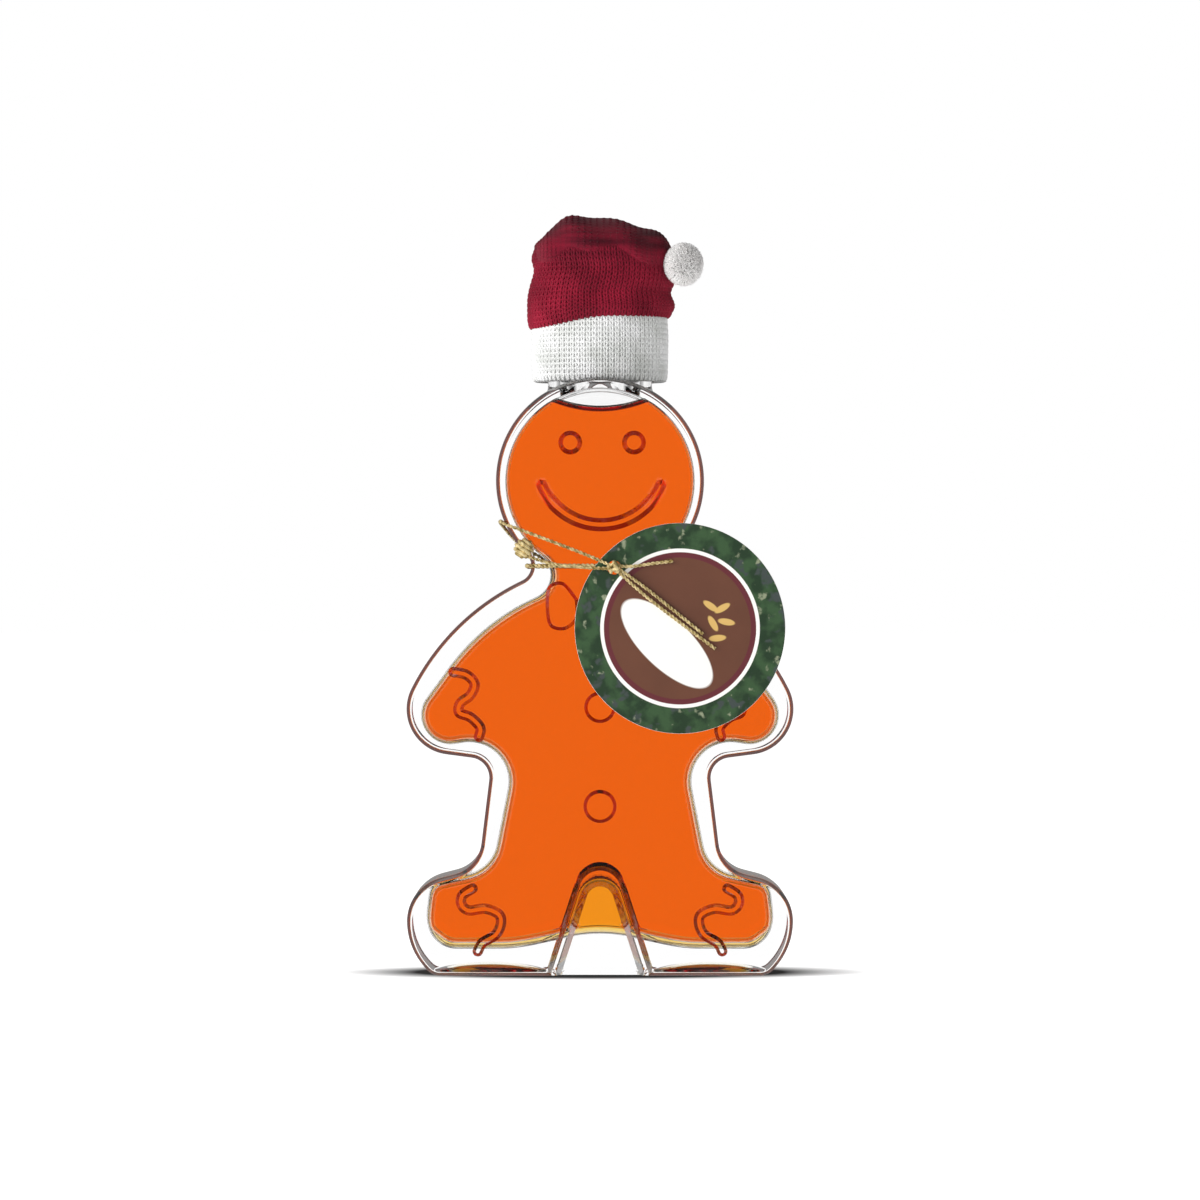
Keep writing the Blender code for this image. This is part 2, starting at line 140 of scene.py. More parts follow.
def make_sky():
    world = bpy.data.worlds.new("studio")
    world.use_nodes = True
    bpy.context.scene.world = world
    tree = world.node_tree
    tree.nodes.clear()
    coordinate = tree.nodes.new("ShaderNodeTexCoord")
    split = tree.nodes.new("ShaderNodeSeparateXYZ")
    tree.links.new(coordinate.outputs["Generated"], split.inputs[0])
    path = tree.nodes.new("ShaderNodeLightPath")
    behind = map_range(tree, split.outputs["Y"], -0.2, 0.0)
    sky = mix_colour(tree, behind, (SKY_FRONT,) * 3, ramp(tree, split.outputs["Y"], RING))
    for low, high in (CEILING, BELOW):
        into = map_range(tree, split.outputs["Z"], low, low + 0.05)
        out = map_range(tree, split.outputs["Z"], high - 0.05, high)
        sky = mix_colour(tree, into, sky, mix_colour(tree, out, (SKY_DARK,) * 3, sky))
    box = ramp(tree, split.outputs["Z"], SOFTBOX)
    sky = mix_colour(tree, path.outputs["Is Transmission Ray"], box, sky)
    off_card = map_range(tree, split.outputs["Y"], *CARD)
    sky = mix_colour(tree, off_card, (CARD_GREY,) * 3, sky)
    sky = mix_colour(tree, path.outputs["Is Diffuse Ray"], sky, (SKY_DIFFUSE,) * 3)
    seen = mix_colour(tree, path.outputs["Is Camera Ray"], sky, (1.0, 1.0, 1.0))
    background = tree.nodes.new("ShaderNodeBackground")
    tree.links.new(seen, background.inputs["Color"])
    output = tree.nodes.new("ShaderNodeOutputWorld")
    tree.links.new(background.outputs[0], output.inputs["Surface"])


def lamp(name, place, aim, size, watts):
    data = bpy.data.lights.new(name, "AREA")
    data.size = size
    data.energy = watts
    made = bpy.data.objects.new(name, data)
    made.location = place
    made.rotation_euler = (Vector(aim) - Vector(place)).to_track_quat("-Z", "Y").to_euler()
    made.visible_glossy = False
    made.visible_transmission = False
    bpy.context.scene.collection.objects.link(made)
    return made


def make_floor():
    bm = bmesh.new()
    bmesh.ops.create_grid(bm, x_segments=1, y_segments=1, size=20.0)
    mesh = bpy.data.meshes.new("floor")
    bm.to_mesh(mesh)
    bm.free()
    floor = bpy.data.objects.new("floor", mesh)
    bpy.context.scene.collection.objects.link(floor)
    paper = bpy.data.materials.new("white_paper")
    paper.use_nodes = True
    tree = paper.node_tree
    shader = tree.nodes["Principled BSDF"]
    shader.inputs["Roughness"].default_value = 0.8
    shader.inputs["Specular IOR Level"].default_value = 0.0
    shader.inputs["Emission Color"].default_value = (1.0, 1.0, 1.0, 1.0)
    coordinate = tree.nodes.new("ShaderNodeTexCoord")
    halves = tree.nodes.new("ShaderNodeMapping")
    halves.vector_type = "TEXTURE"
    halves.inputs["Scale"].default_value = (*PAINTED_SHADOW_HALVES, 1.0)
    tree.links.new(coordinate.outputs["Object"], halves.inputs["Vector"])
    length = tree.nodes.new("ShaderNodeVectorMath")
    length.operation = "LENGTH"
    tree.links.new(halves.outputs[0], length.inputs[0])
    # Painted contact shadow: near the bottle the floor's emission and colour fall almost to black.
    emission_with_painted_shadow = map_range(tree, length.outputs["Value"], 0.92, PAINTED_SHADOW_END, 0.02)
    tree.links.new(emission_with_painted_shadow, shader.inputs["Emission Strength"])
    grey = map_range(tree, emission_with_painted_shadow, 0.0, 1.0, 0.02, FLOOR_GREY)
    tree.links.new(grey, shader.inputs["Base Color"])
    mesh.materials.append(paper)
    floor.visible_transmission = False
    floor.visible_glossy = False
    return floor


make_sky()
make_floor()
lamp("key_left", (-1.25, -0.7, 0.5), (0.0, 0.0, 0.12), 0.7, 15.0)
lamp("front", (-0.5, -1.4, 0.4), (0.0, 0.0, 0.12), 0.8, 5.5)
lamp("top", (0.0, 0.1, 1.2), (0.0, 0.0, 0.0), 1.0, 1.5)
bpy.context.scene.view_settings.view_transform = "Standard"

# %% [markdown]
# The glass figure is an outline made of circles: the head, the arms and the feet are round
# ones, and the throat, the armpits and the ankles are hollow ones. Its rounded edge runs from
# that outline round to a flat front and back. The glass and the hollow inside it are two such
# shapes, so both come from one set of functions.

# %% The figure's sizes, in millimetres
HEAD = (0.0, 122.5, 25.75)
# Circles from the shoulder down to the foot: x, z and radius, minus for a hollow corner.
GLASS_ROUNDS = ((-6.0, 44.5, 59.02), (36.6, 66.0, 11.3), (32.4, 49.0, -5.0), (38.3, 33.8, -9.0),
                (36.75, 13.5, 11.05), (30.65, 13.5, 17.15))
HOLLOW_ROUNDS = ((-6.0, 44.5, 53.8), (37.2, 64.4, 7.2), (32.5, 47.9, -9.85), (34.8, 33.9, -9.4),
                 (38.3, 19.2, 4.2), (30.7, 14.6, 12.3))
THROAT_R = 4.0
HALF_DEPTH = 23.0
CORNER = 4.5
EDGE_R = 0.3  # the round where the front meets the steep edge
EDGE_TILT = math.radians(76)  # the steep edge's tilt, and how far it runs in
EDGE_RUN = 0.7
SIDE_R = 3.0
FLAT_RIM = 0.35  # a narrow ring of the front's mesh that keeps the edge's shading to itself
HEAD_WALL = 2.3
FACE_WALL = 4.2
LIP = 0.75
LIP_HEAD = 0.25
LIP_FLOOR = 1.8
LIP_DEPTH = 4.0
HOLLOW_EDGE_R = 1.0
HOLLOW_THROAT_R = 6.0
HOLLOW_CORNER = 7.2
HOLLOW_FLOOR = 6.3
FLOOR_ARCH = (3.6, 25.0)
SYRUP_LEVEL = 139.5
MENISCUS = (2.8, 13.0, 1.6, 1.0)
NECK_R = 13.0
BORE_R = 10.0
NECK_FLARE_R = 3.0
MOUTH = 163.0


def touching(first, second, radius):
    """Centre of the hollow circle on the right that touches two round ones from outside."""
    (x0, z0, r0), (x1, z1, r1) = first, second
    a, b = r0 + radius, r1 + radius
    dx, dz = x1 - x0, z1 - z0
    d = math.hypot(dx, dz)
    along = (a * a - b * b + d * d) / (2 * d)
    off = math.sqrt(a * a - along * along)
    both = [(x0 + (along * dx + s * off * dz) / d, z0 + (along * dz - s * off * dx) / d) for s in (1, -1)]
    return max(both)


def figure_circles(rounds, head_r, throat_r, corner, floor, grow=0.0):
    """The circles of the right half from the head down."""
    head = (HEAD[0], HEAD[1], head_r + grow)
    rest = [(x, z, r + grow) for x, z, r in rounds]
    throat = (*touching(head, rest[0], throat_r), -throat_r)
    x, z, r = rest[-1]
    corner, floor = corner + grow, floor - grow
    drop = z - floor - corner
    rest.append((x + math.sqrt((r - corner) ** 2 - drop**2), floor + corner, corner))
    return [head, throat] + rest


def figure_path(circles, spacing, arch=(0.0, 1.0)):
    """Points about spacing apart round the whole outline, with the way out at each."""
    turns = [math.pi / 2]
    for (x0, z0, r0), (x1, z1, r1) in zip(circles, circles[1:]):
        dx, dz = x1 - x0, z1 - z0
        d = math.hypot(dx, dz)
        lean = max(-1.0, min(1.0, (r0 - r1) / d))
        side = math.sqrt(1 - lean * lean)
        turns.append(math.atan2(lean * dz / d + side * dx / d, lean * dx / d - side * dz / d))
    turns.append(-math.pi / 2)
    half = []
    for (x, z, r), start, end in zip(circles, turns, turns[1:]):
        steps = max(2, math.ceil(abs(end - start) * max(abs(r), 3.0) / spacing))
        for k in range(steps + 1):
            angle = start + (end - start) * k / steps
            out = (math.cos(angle), math.sin(angle))
            add_run(half, (x + r * out[0], z + r * out[1]), out, spacing)
    last_x, last_z = half[-1][:2]
    height, width = arch
    steps = math.ceil(2 * last_x / spacing)
    for k in range(1, steps + 1):
        x = last_x * (1 - k / steps)
        turn = math.pi * min(x / width, 1.0)
        slope = -height * math.pi / (2 * width) * math.sin(turn)
        out = np.array([slope, -1.0]) / math.hypot(slope, 1.0)
        half.append((x, last_z + height * (1 + math.cos(turn)) / 2, *out))
    whole = np.array(half + [(-x, z, -u, v) for x, z, u, v in reversed(half[1:-1])])
    return whole[:, :2], whole[:, 2:]


def add_run(half, point, out, spacing):
    """Adds a point, and the points of the straight run that leads to it."""
    if half:
        start = np.array(half[-1][:2])
        gap = float(np.linalg.norm(np.array(point) - start))
        if gap < 0.02:
            return
        for k in range(1, math.ceil(gap / spacing)):
            x, z = start + (np.array(point) - start) * k / math.ceil(gap / spacing)
            half.append((x, z, *out))
    half.append((*point, *out))


# %% [markdown]
# A mesh of such a slab has two parts. Rings follow the outline round the steep edge, and a
# Delaunay triangulation fills the front and back. Its points are dense where raised lines
# need them and sparse elsewhere, which keeps the mesh light and the lines crisp.

# %% Mesh of a slab with the figure's outline


def outline_distance(points, line):
    """How far each point lies from a closed line."""
    best = np.full(len(points), 1e9)
    for a, b in zip(line, np.roll(line, -1, axis=0)):
        run = b - a
        share = np.clip((points - a) @ run / max(run @ run, 1e-12), 0, 1)
        best = np.minimum(best, np.linalg.norm(points - a - share[:, None] * run, axis=1))
    return best


def inside_line(points, line):
    """Which points lie inside a closed line."""
    inside = np.zeros(len(points), bool)
    for (x0, z0), (x1, z1) in zip(line, np.roll(line, -1, axis=0)):
        crosses = (z0 > points[:, 1]) != (z1 > points[:, 1])
        span = z1 - z0 if z1 != z0 else 1e-9
        inside ^= crosses & (points[:, 0] < x0 + (points[:, 1] - z0) * (x1 - x0) / span)
    return inside


def fill_points(line, spacing, detail):
    """Points inside a closed line: the detail's own, and a sparse grid round them."""
    low, high = line.min(0), line.max(0)
    xs = np.arange(low[0], high[0], spacing)
    zs = np.arange(low[1], high[1], spacing * math.sqrt(0.75))
    i, j = np.meshgrid(np.arange(len(xs)), np.arange(len(zs)))
    grid = np.stack([xs[i] + (j % 2) * spacing / 2, zs[j]], -1).reshape(-1, 2)
    _, first = np.unique(np.round(detail / APART), axis=0, return_index=True)
    detail = detail[np.sort(first)]
    tree = KDTree(len(detail))
    for k, (x, z) in enumerate(detail):
        tree.insert((x, z, 0.0), k)
    tree.balance()
    grid = np.array([p for p in grid if tree.find((*p, 0.0))[2] > 0.4 * spacing])
    points = np.vstack([grid, detail])
    points = points[inside_line(points, line)]
    return points[outline_distance(points, line) > 0.12]


def slab(circles, profile, spacing, detail, arch=(0.0, 1.0)):
    """Vertices in millimetres and faces of a slab. The profile gives, for every point of the
    outline, rows of inset and depth from the edge of the flat front to the middle."""
    path, out = figure_path(circles, spacing, arch)
    count = len(path)
    rows = profile(path, out)
    rows = [(inset, -depth) for inset, depth in rows] + list(reversed(rows))
    vertices, faces = [], []
    for inset, depth in rows:
        ring = path - out * inset[:, None]
        vertices.append(np.column_stack([ring[:, 0], depth, ring[:, 1]]))
    for row in range(len(rows) - 1):
        for k in range(count):
            a, b = row * count + k, row * count + (k + 1) % count
            faces.append((a, b, b + count, a + count))
    border = path - out * rows[0][0][:, None]
    total = len(rows) * count
    for first, side in ((0, 0), ((len(rows) - 1) * count, 1)):
        inner = fill_points(border, spacing * 2, detail[side])
        corners = [Vector(p) for p in np.vstack([border, inner])]
        rounds = [(k, (k + 1) % count) for k in range(count)]
        _, _, triangles, origin, _, _ = delaunay_2d_cdt(corners, rounds, [], 1, 1e-5)
        index = [first + o[0] if o[0] < count else total + o[0] - count for o in origin]
        for triangle in triangles:
            faces.append(tuple(index[k] for k in triangle))
        depth = np.full(len(inner), (2 * side - 1) * abs(rows[0][1][0]))
        vertices.append(np.column_stack([inner[:, 0], depth, inner[:, 1]]))
        total += len(inner)
    return np.vstack(vertices), faces


def ease(value, low, high):
    t = np.clip((value - low) / (high - low), 0, 1)
    return t * t * (3 - 2 * t)


def glass_profile(path, out):
    """A flat rim, a small round, a steep narrow edge and a larger round onto the side."""
    face, side = np.linspace(0, EDGE_TILT, 5), np.linspace(EDGE_TILT, math.pi / 2, 4)[1:]
    run = [(EDGE_R * math.sin(t), EDGE_R * (1 - math.cos(t))) for t in face]
    x, y = run[-1][0] + EDGE_RUN, run[-1][1] + EDGE_RUN * math.tan(EDGE_TILT)
    run.append((x, y))
    for t in side:
        run.append((x + SIDE_R * (math.sin(t) - math.sin(EDGE_TILT)), y + SIDE_R * (math.cos(EDGE_TILT) - math.cos(t))))
    total = run[-1][0]
    rows = [(total + FLAT_RIM, 0.0)] + [(total - across, down) for across, down in run]
    return [(np.full(len(path), inset), np.full(len(path), HALF_DEPTH - down)) for inset, down in rows]


def hollow_profile(depth):
    """Straight walls with a thin lip round them, where the syrup is thin and looks golden."""

    def rows(path, out):
        lip = LIP + (LIP_HEAD - LIP) * ease(path[:, 1], 98, 106)
        lip += (LIP_FLOOR - LIP) * ease(-out[:, 1], 0.2, 0.8) * (path[:, 1] < 16)
        radius = HOLLOW_EDGE_R * (1 - 0.6 * ease(path[:, 1], 98, 106))
        made = [(lip + 0.12 + radius + FLAT_RIM, np.full(len(path), depth))]
        for t in np.linspace(math.pi / 2, 0, 6):
            made.append((lip + 0.12 + radius * (1 - math.cos(t)), depth - radius * (1 - math.sin(t))))
        made.append((lip + 0.12, np.full(len(path), LIP_DEPTH + 0.6)))
        for t in np.linspace(math.pi / 2, 0, 6):
            made.append((lip * (1 - math.cos(t)), np.full(len(path), LIP_DEPTH * math.sin(t) + 0.2)))
        return made

    return rows


def build_mesh(name, vertices, faces):
    """A closed bmesh-cleaned mesh object from millimetre points."""
    mesh = bpy.data.meshes.new(name)
    mesh.from_pydata((vertices * MM).tolist(), [], faces)
    bm = bmesh.new()
    bm.from_mesh(mesh)
    bmesh.ops.remove_doubles(bm, verts=bm.verts, dist=2e-6)
    bmesh.ops.recalc_face_normals(bm, faces=bm.faces)
    bm.to_mesh(mesh)
    bm.free()
    mesh.shade_smooth()
    made = bpy.data.objects.new(name, mesh)
    bpy.context.scene.collection.objects.link(made)
    return made


def lathe(name, profile, segments):
    """Turns a (radius, z) profile in millimetres about the Z axis."""
    rows = [[(r * math.cos(a), r * math.sin(a), z) for a in np.linspace(0, 2 * math.pi, segments + 1)[:-1]]
            for r, z in profile]
    faces = []
    for row in range(len(profile) - 1):
        for k in range(segments):
            a, b = row * segments + k, row * segments + (k + 1) % segments
            faces.append((a, b, b + segments, a + segments))
    vertices = np.array(rows).reshape(-1, 3)
    if profile[0][0] > 0:
        for k in range(segments):
            a, b = (len(profile) - 1) * segments + k, (len(profile) - 1) * segments + (k + 1) % segments
            faces.append((a, b, (k + 1) % segments, k))
    return build_mesh(name, vertices, faces)


def combine(target, tool, operation):
    """Applies one Boolean to target and removes the tool."""
    cut = target.modifiers.new(operation.lower(), "BOOLEAN")
    cut.operation = operation
    cut.solver = "MANIFOLD"
    cut.object = tool
    bpy.context.view_layer.update()
    result = bpy.data.meshes.new_from_object(target.evaluated_get(bpy.context.evaluated_depsgraph_get()))
    target.modifiers.clear()
    target.data = result
    bpy.data.objects.remove(tool, do_unlink=True)


# %% [markdown]
# The face, the bow tie, the buttons and the icing waves stand about a millimetre proud of the
# glass. Each is a height over the front: a plateau with a steep, rounded edge, because it is
# the steep edge that bends light and shows as a dark line.

# %% Raised work on the front
EYES = ((-7.35, 131.9, 2.95), (8.4, 131.9, 2.95))
SMILE = (0.3, 127.5, 15.9, 19.0, 1.65)
BUTTONS = ((0.0, 66.5, 3.9), (0.0, 42.0, 4.1))
BOW_WING = ((5.4, 93.2), (9.0, 97.4), (12.8, 96.4), (13.4, 91.0), (12.4, 86.4), (8.6, 85.6), (5.4, 88.4))
BOW_KNOT = (0.0, 90.5, 3.2)
WRIST_WAVE = ((36.2, 75.2), (33.0, 74.5), (31.0, 72.3), (32.0, 69.5), (34.5, 67.5), (34.8, 65.2),
              (32.0, 64.0), (29.6, 61.5), (29.9, 59.2))
ANKLE_WAVE = ((31.5, 21.7), (34.0, 20.0), (34.2, 17.8), (32.4, 16.3), (28.3, 16.7), (25.0, 15.3),
              (24.5, 13.0), (25.8, 10.3), (29.0, 8.3), (30.2, 6.2))
WAVE_HALF = 1.3
RAISE = 1.9
EDGE = 0.85
FACE_RAISE = 2.5  # the eyes and the smile stand higher and have wider edges
FACE_EDGE = 1.15
SMILE_FADE = 1.5
APART = 0.11  # points nearer each other than this are merged
ALONG = 0.26  # spacing of the mesh along a raised edge
# Top, radius, depth and edge width of the outer and the inner step between the legs, and of
# the step in the hollow behind them.
LEDGE = (27.25, 6.34, 2.6, 1.2)
RECESS = (23.4, 4.93, 5.6, 1.4)
INNER_STEP = (24.2, 5.73, 8.0, 2.2)
SPREAD = math.radians(18.0)


def smooth_line(points, per=6):
    """A Catmull-Rom curve through points."""
    p = np.array([points[0], *points, points[-1]], float)
    made = []
    for k in range(1, len(p) - 2):
        for t in np.arange(per) / per:
            a = 2 * p[k] + (p[k + 1] - p[k - 1]) * t
            a = a + (2 * p[k - 1] - 5 * p[k] + 4 * p[k + 1] - p[k + 2]) * t**2
            made.append((a + (3 * p[k] - p[k - 1] - 3 * p[k + 1] + p[k + 2]) * t**3) / 2)
    made.append(p[-2])
    return np.array(made)


def line_distance(points, line):
    best = np.full(len(points), 1e9)
    for a, b in zip(line, line[1:]):
        run = b - a
        share = np.clip((points - a) @ run / (run @ run), 0, 1)
        best = np.minimum(best, np.linalg.norm(points - a - share[:, None] * run, axis=1))
    return best


def arc_line(x, z, radius, first, last, steps=40):
    turns = np.radians(np.linspace(first, last, steps))
    return np.column_stack([x + radius * np.cos(turns), z + radius * np.sin(turns)])


def rise(distance, edge=EDGE):
    """A plateau: 0 outside, 1 inside, with a slope edge wide between them."""
    t = np.clip(distance / edge, 0, 1)
    return 0.85 * t + 0.15 * t * t * (3 - 2 * t)


def polygon_depth(points, corners):
    """How far inside a closed polygon each point lies, below zero outside."""
    line = smooth_line([*corners, corners[0]], 4)
    return np.where(inside_line(points, line), 1, -1) * line_distance(points, line)


def smile_line():
    x, z, radius, first, _ = SMILE
    return arc_line(x, z, radius, 180 + first, 360 - first)


def raised_height(points):
    """How far the front stands out at each point."""
    x, z = points[:, 0], points[:, 1]
    half = np.column_stack([np.abs(x), z])
    heights = [FACE_RAISE * rise(r - np.hypot(x - ex, z - ez), FACE_EDGE) for ex, ez, r in EYES]
    sx, sz, radius, first, half_width = SMILE
    turn = np.degrees(np.arctan2(z - sz, x - sx))
    to_end = np.radians(90 - first - np.abs(turn + 90)) * radius
    smile = rise(half_width * smile_taper(to_end) - line_distance(points, smile_line()), FACE_EDGE)
    heights.append(FACE_RAISE * smile * np.clip(0.3 + to_end / SMILE_FADE, 0, 1))
    parts = [r - np.hypot(x - bx, z - bz) for bx, bz, r in (*BUTTONS, BOW_KNOT)]
    parts.append(polygon_depth(half, BOW_WING))
    for wave in (WRIST_WAVE, ANKLE_WAVE):
        parts.append(WAVE_HALF - line_distance(half, smooth_line(wave)))
    return np.max(heights + [RAISE * rise(part) for part in parts], axis=0)


def smile_taper(to_end):
    """The smile's band narrows a little towards its ends."""
    return 0.82 + 0.18 * np.clip(to_end / 10.0, 0, 1)


def legs_depth(points, shape):
    """The depth pressed in between the legs, on a round top with sides that spread downwards."""
    top, radius, depth, edge = shape
    x, z = np.abs(points[:, 0]), points[:, 1] - (top - radius)
    across = x * math.cos(SPREAD) + z * math.sin(SPREAD)
    below = x * math.sin(SPREAD) > z * math.cos(SPREAD)
    return depth * rise(radius - np.where(below, across, np.hypot(x, z)), edge)


def offsets(edge):
    """Distances in from a shape's outline at which the mesh gets a row of points."""
    return [-0.3, 0.0, *(edge * np.arange(1, 5) / 4), edge + 0.3]


def beside(line, distances):
    """Rows of points beside a line, to its left for a plus distance."""
    steps = np.r_[0, np.cumsum(np.linalg.norm(np.diff(line, axis=0), axis=1))]
    at = np.linspace(0, steps[-1], max(2, round(steps[-1] / ALONG)))
    line = np.column_stack([np.interp(at, steps, line[:, k]) for k in (0, 1)])
    ahead = np.gradient(line, axis=0)
    ahead /= np.linalg.norm(ahead, axis=1)[:, None]
    left = np.column_stack([-ahead[:, 1], ahead[:, 0]])
    return np.vstack([line + left * d for d in distances])


def band_points(line, half_width, edge):
    """Rows along both edges of a raised band and round its ends."""
    insets = [half_width - d for d in offsets(edge) if d <= half_width]
    made = [beside(line, insets + [-d for d in insets])]
    for end, before in ((line[0], line[2]), (line[-1], line[-3])):
        away = math.degrees(math.atan2(*(end - before)[::-1]))
        made += [beside(arc_line(*end, d, away - 90, away + 90), [0.0]) for d in insets if d > 0.3]
    return np.vstack(made)


def legs_points(shape):
    """Rows along the arch of one step between the legs."""
    top, radius, _, edge = shape
    low = math.degrees(SPREAD)
    made = []
    for inset in offsets(edge):
        roof = arc_line(0.0, top - radius, radius - inset, low, 180 - low)
        drop = (roof[0][1] + 1.0) / math.cos(SPREAD)
        foot = np.array([math.sin(SPREAD), -math.cos(SPREAD)]) * drop
        ends = roof[0] + foot, roof[-1] + foot * (-1, 1)
        made.append(beside(np.vstack([ends[0], roof, ends[1]]), [0.0]))
    return np.vstack(made)


def glass_points():
    """Where the front and the back of the glass need a dense mesh."""
    made = [beside(arc_line(x, z, r, 0, 360), offsets(FACE_EDGE)) for x, z, r in EYES]
    made += [beside(arc_line(x, z, r, 0, 360), offsets(EDGE)) for x, z, r in (*BUTTONS, BOW_KNOT)]
    wing = smooth_line([*BOW_WING, BOW_WING[0]])
    made.append(beside(wing, [-d for d in offsets(EDGE)]))
    for wave in (WRIST_WAVE, ANKLE_WAVE):
        made.append(band_points(smooth_line(wave), WAVE_HALF, EDGE))
    made += [rows * (-1, 1) for rows in made[-3:]]
    made.append(band_points(smile_line(), SMILE[-1], FACE_EDGE))
    legs = [legs_points(LEDGE), legs_points(RECESS)]
    return np.vstack(made + legs), np.vstack(legs)


# %% Build glass, hollow and syrup
POCKET = (27.3, 15.0, 12.0, 3.2)  # the push-up under each foot: x, half width, half depth, height


def ball(name, centre, radii, cuts=3):
    bm = bmesh.new()
    bmesh.ops.create_icosphere(bm, subdivisions=cuts, radius=1.0)
    bmesh.ops.scale(bm, vec=Vector(radii) * MM, verts=bm.verts)
    bmesh.ops.translate(bm, vec=Vector(centre) * MM, verts=bm.verts)
    mesh = bpy.data.meshes.new(name)
    bm.to_mesh(mesh)
    bm.free()
    mesh.shade_smooth()
    made = bpy.data.objects.new(name, mesh)
    bpy.context.scene.collection.objects.link(made)
    return made


def press_in(vertices, depths, half_depth):
    """Pushes the front and back in between the legs."""
    floor = half_depth - depths
    vertices[:, 1] = np.sign(vertices[:, 1]) * np.minimum(np.abs(vertices[:, 1]), floor)


def neck_outside():
    corner = NECK_R + NECK_FLARE_R
    height = math.sqrt((HEAD[2] + NECK_FLARE_R) ** 2 - corner**2)
    flare = HEAD[1] + height
    end = math.atan2(height, corner)
    points = [(0.0, MOUTH), (NECK_R - 0.8, MOUTH), (NECK_R - 0.25, MOUTH - 0.25), (NECK_R, MOUTH - 0.8)]
    for k in range(9):
        angle = math.pi + end * k / 8
        points.append((corner + NECK_FLARE_R * math.cos(angle), flare + NECK_FLARE_R * math.sin(angle)))
    return points + [(BORE_R, 138.0), (0.0, 138.0)]


def make_hollow(name, grow):
    head_r = HEAD[2] - HEAD_WALL
    circles = figure_circles(HOLLOW_ROUNDS, head_r, HOLLOW_THROAT_R, HOLLOW_CORNER, HOLLOW_FLOOR, grow)
    depth = HALF_DEPTH - FACE_WALL + grow
    step = (INNER_STEP[0] - grow, INNER_STEP[1] - grow, *INNER_STEP[2:])
    vertices, faces = slab(circles, hollow_profile(depth), 0.9, [legs_points(step)] * 2, FLOOR_ARCH)
    press_in(vertices, legs_depth(vertices[:, [0, 2]], step), depth)
    space = build_mesh(name, vertices, faces)
    top = MOUTH + 2.0
    bore = lathe("bore", [(0.0, top), (BORE_R + grow, top), (BORE_R + grow, 134.0), (0.0, 134.0)], 96)
    combine(space, bore, "UNION")
    return space


def make_bottle():
    circles = figure_circles(GLASS_ROUNDS, HEAD[2], THROAT_R, CORNER, 0.0)
    vertices, faces = slab(circles, glass_profile, 0.7, glass_points())
    plan = vertices[:, [0, 2]]
    press_in(vertices, legs_depth(plan, LEDGE) + legs_depth(plan, RECESS), HALF_DEPTH)
    front = vertices[:, 1] < -0.5 * HALF_DEPTH
    vertices[front, 1] -= raised_height(plan[front])
    bottle = build_mesh("bottle_glass", vertices, faces)
    combine(bottle, lathe("neck", neck_outside(), 96), "UNION")
    combine(bottle, make_hollow("hollow", 0.0), "DIFFERENCE")
    for side in (-1, 1):
        x, half_width, half_depth, height = POCKET
        pocket = ball("pocket", (side * x, 0.0, 0.0), (half_width, half_depth, height), 5)
        combine(bottle, pocket, "DIFFERENCE")
    return bottle


def make_syrup():
    """The hollow filled to the level, 0.15 mm into the glass so that no air shows between."""
    syrup = make_hollow("syrup_fill", 0.15)
    bend, half, climb, reach = MENISCUS
    xs = np.linspace(-30.0, 30.0, 121)
    wall = HALF_DEPTH - FACE_WALL
    ys = np.concatenate([[-30.0], wall * np.sin(np.linspace(-1, 1, 41) * math.pi / 2), [30.0]])
    lift = climb * np.exp(-np.clip(wall - np.abs(ys), 0, None) / reach)
    low = [[(x, y, SYRUP_LEVEL + bend * min((x / half) ** 2, 1.6) + up) for y, up in zip(ys, lift)] for x in xs]
    high = [[(x, y, MOUTH + 9.0) for y in ys] for x in xs]
    vertices = np.array(low + high).reshape(-1, 3)
    rows, cols = len(xs), len(ys)
    faces = []
    for sheet in (0, rows * cols):
        for i in range(rows - 1):
            for j in range(cols - 1):
                a = sheet + i * cols + j
                faces.append((a, a + 1, a + cols + 1, a + cols))
    rim = [j for j in range(cols)] + [i * cols + cols - 1 for i in range(1, rows)]
    rim += [(rows - 1) * cols + j for j in range(cols - 2, -1, -1)] + [i * cols for i in range(rows - 2, 0, -1)]
    for a, b in zip(rim, rim[1:] + rim[:1]):
        faces.append((a, b, b + rows * cols, a + rows * cols))
    combine(syrup, build_mesh("above_level", vertices, faces), "DIFFERENCE")
    return syrup


bottle = make_bottle()
syrup = make_syrup()
print("glass faces", len(bottle.data.polygons), "syrup faces", len(syrup.data.polygons))

# %% Glass and syrup materials
GLASS_IOR = 1.52
SYRUP_IOR = 1.47
SYRUP_ABSORBS = (2.8, 55.0, 240.0)  # per metre, for red, green and blue
# Painted shade: dark tints on the glass where its surface is steep, which deepen the dark outline of the edges and of
# the raised work.
EDGE_PAINTED_SHADE = (0.17, 0.13, 0.11)
RELIEF_PAINTED_SHADE = (0.85, 0.10, 0.08)  # the painted shade for raised work, a dark red
PAINTED_SHADE_STEEPNESS = ((0.0, 0.0), (0.08, 0.0), (0.16, 1.0), (0.6, 1.0), (0.85, 0.0))  # where the painted shade lies, by the normal's share along Y
PAINTED_SHADE_FROM = 19.5  # and only this far from the middle
MENISCUS_PAINTED_SHADE = (0.03, 0.015, 0.01)  # painted shade: the surface of the syrup is made near black where it climbs the glass


def clear_material(name, ior, roughness):
    material = bpy.data.materials.new(name)
    material.use_nodes = True
    shader = material.node_tree.nodes["Principled BSDF"]
    shader.inputs["Base Color"].default_value = (1.0, 1.0, 1.0, 1.0)
    shader.inputs["Transmission Weight"].default_value = 1.0
    shader.inputs["Roughness"].default_value = roughness
    shader.inputs["IOR"].default_value = ior
    return material


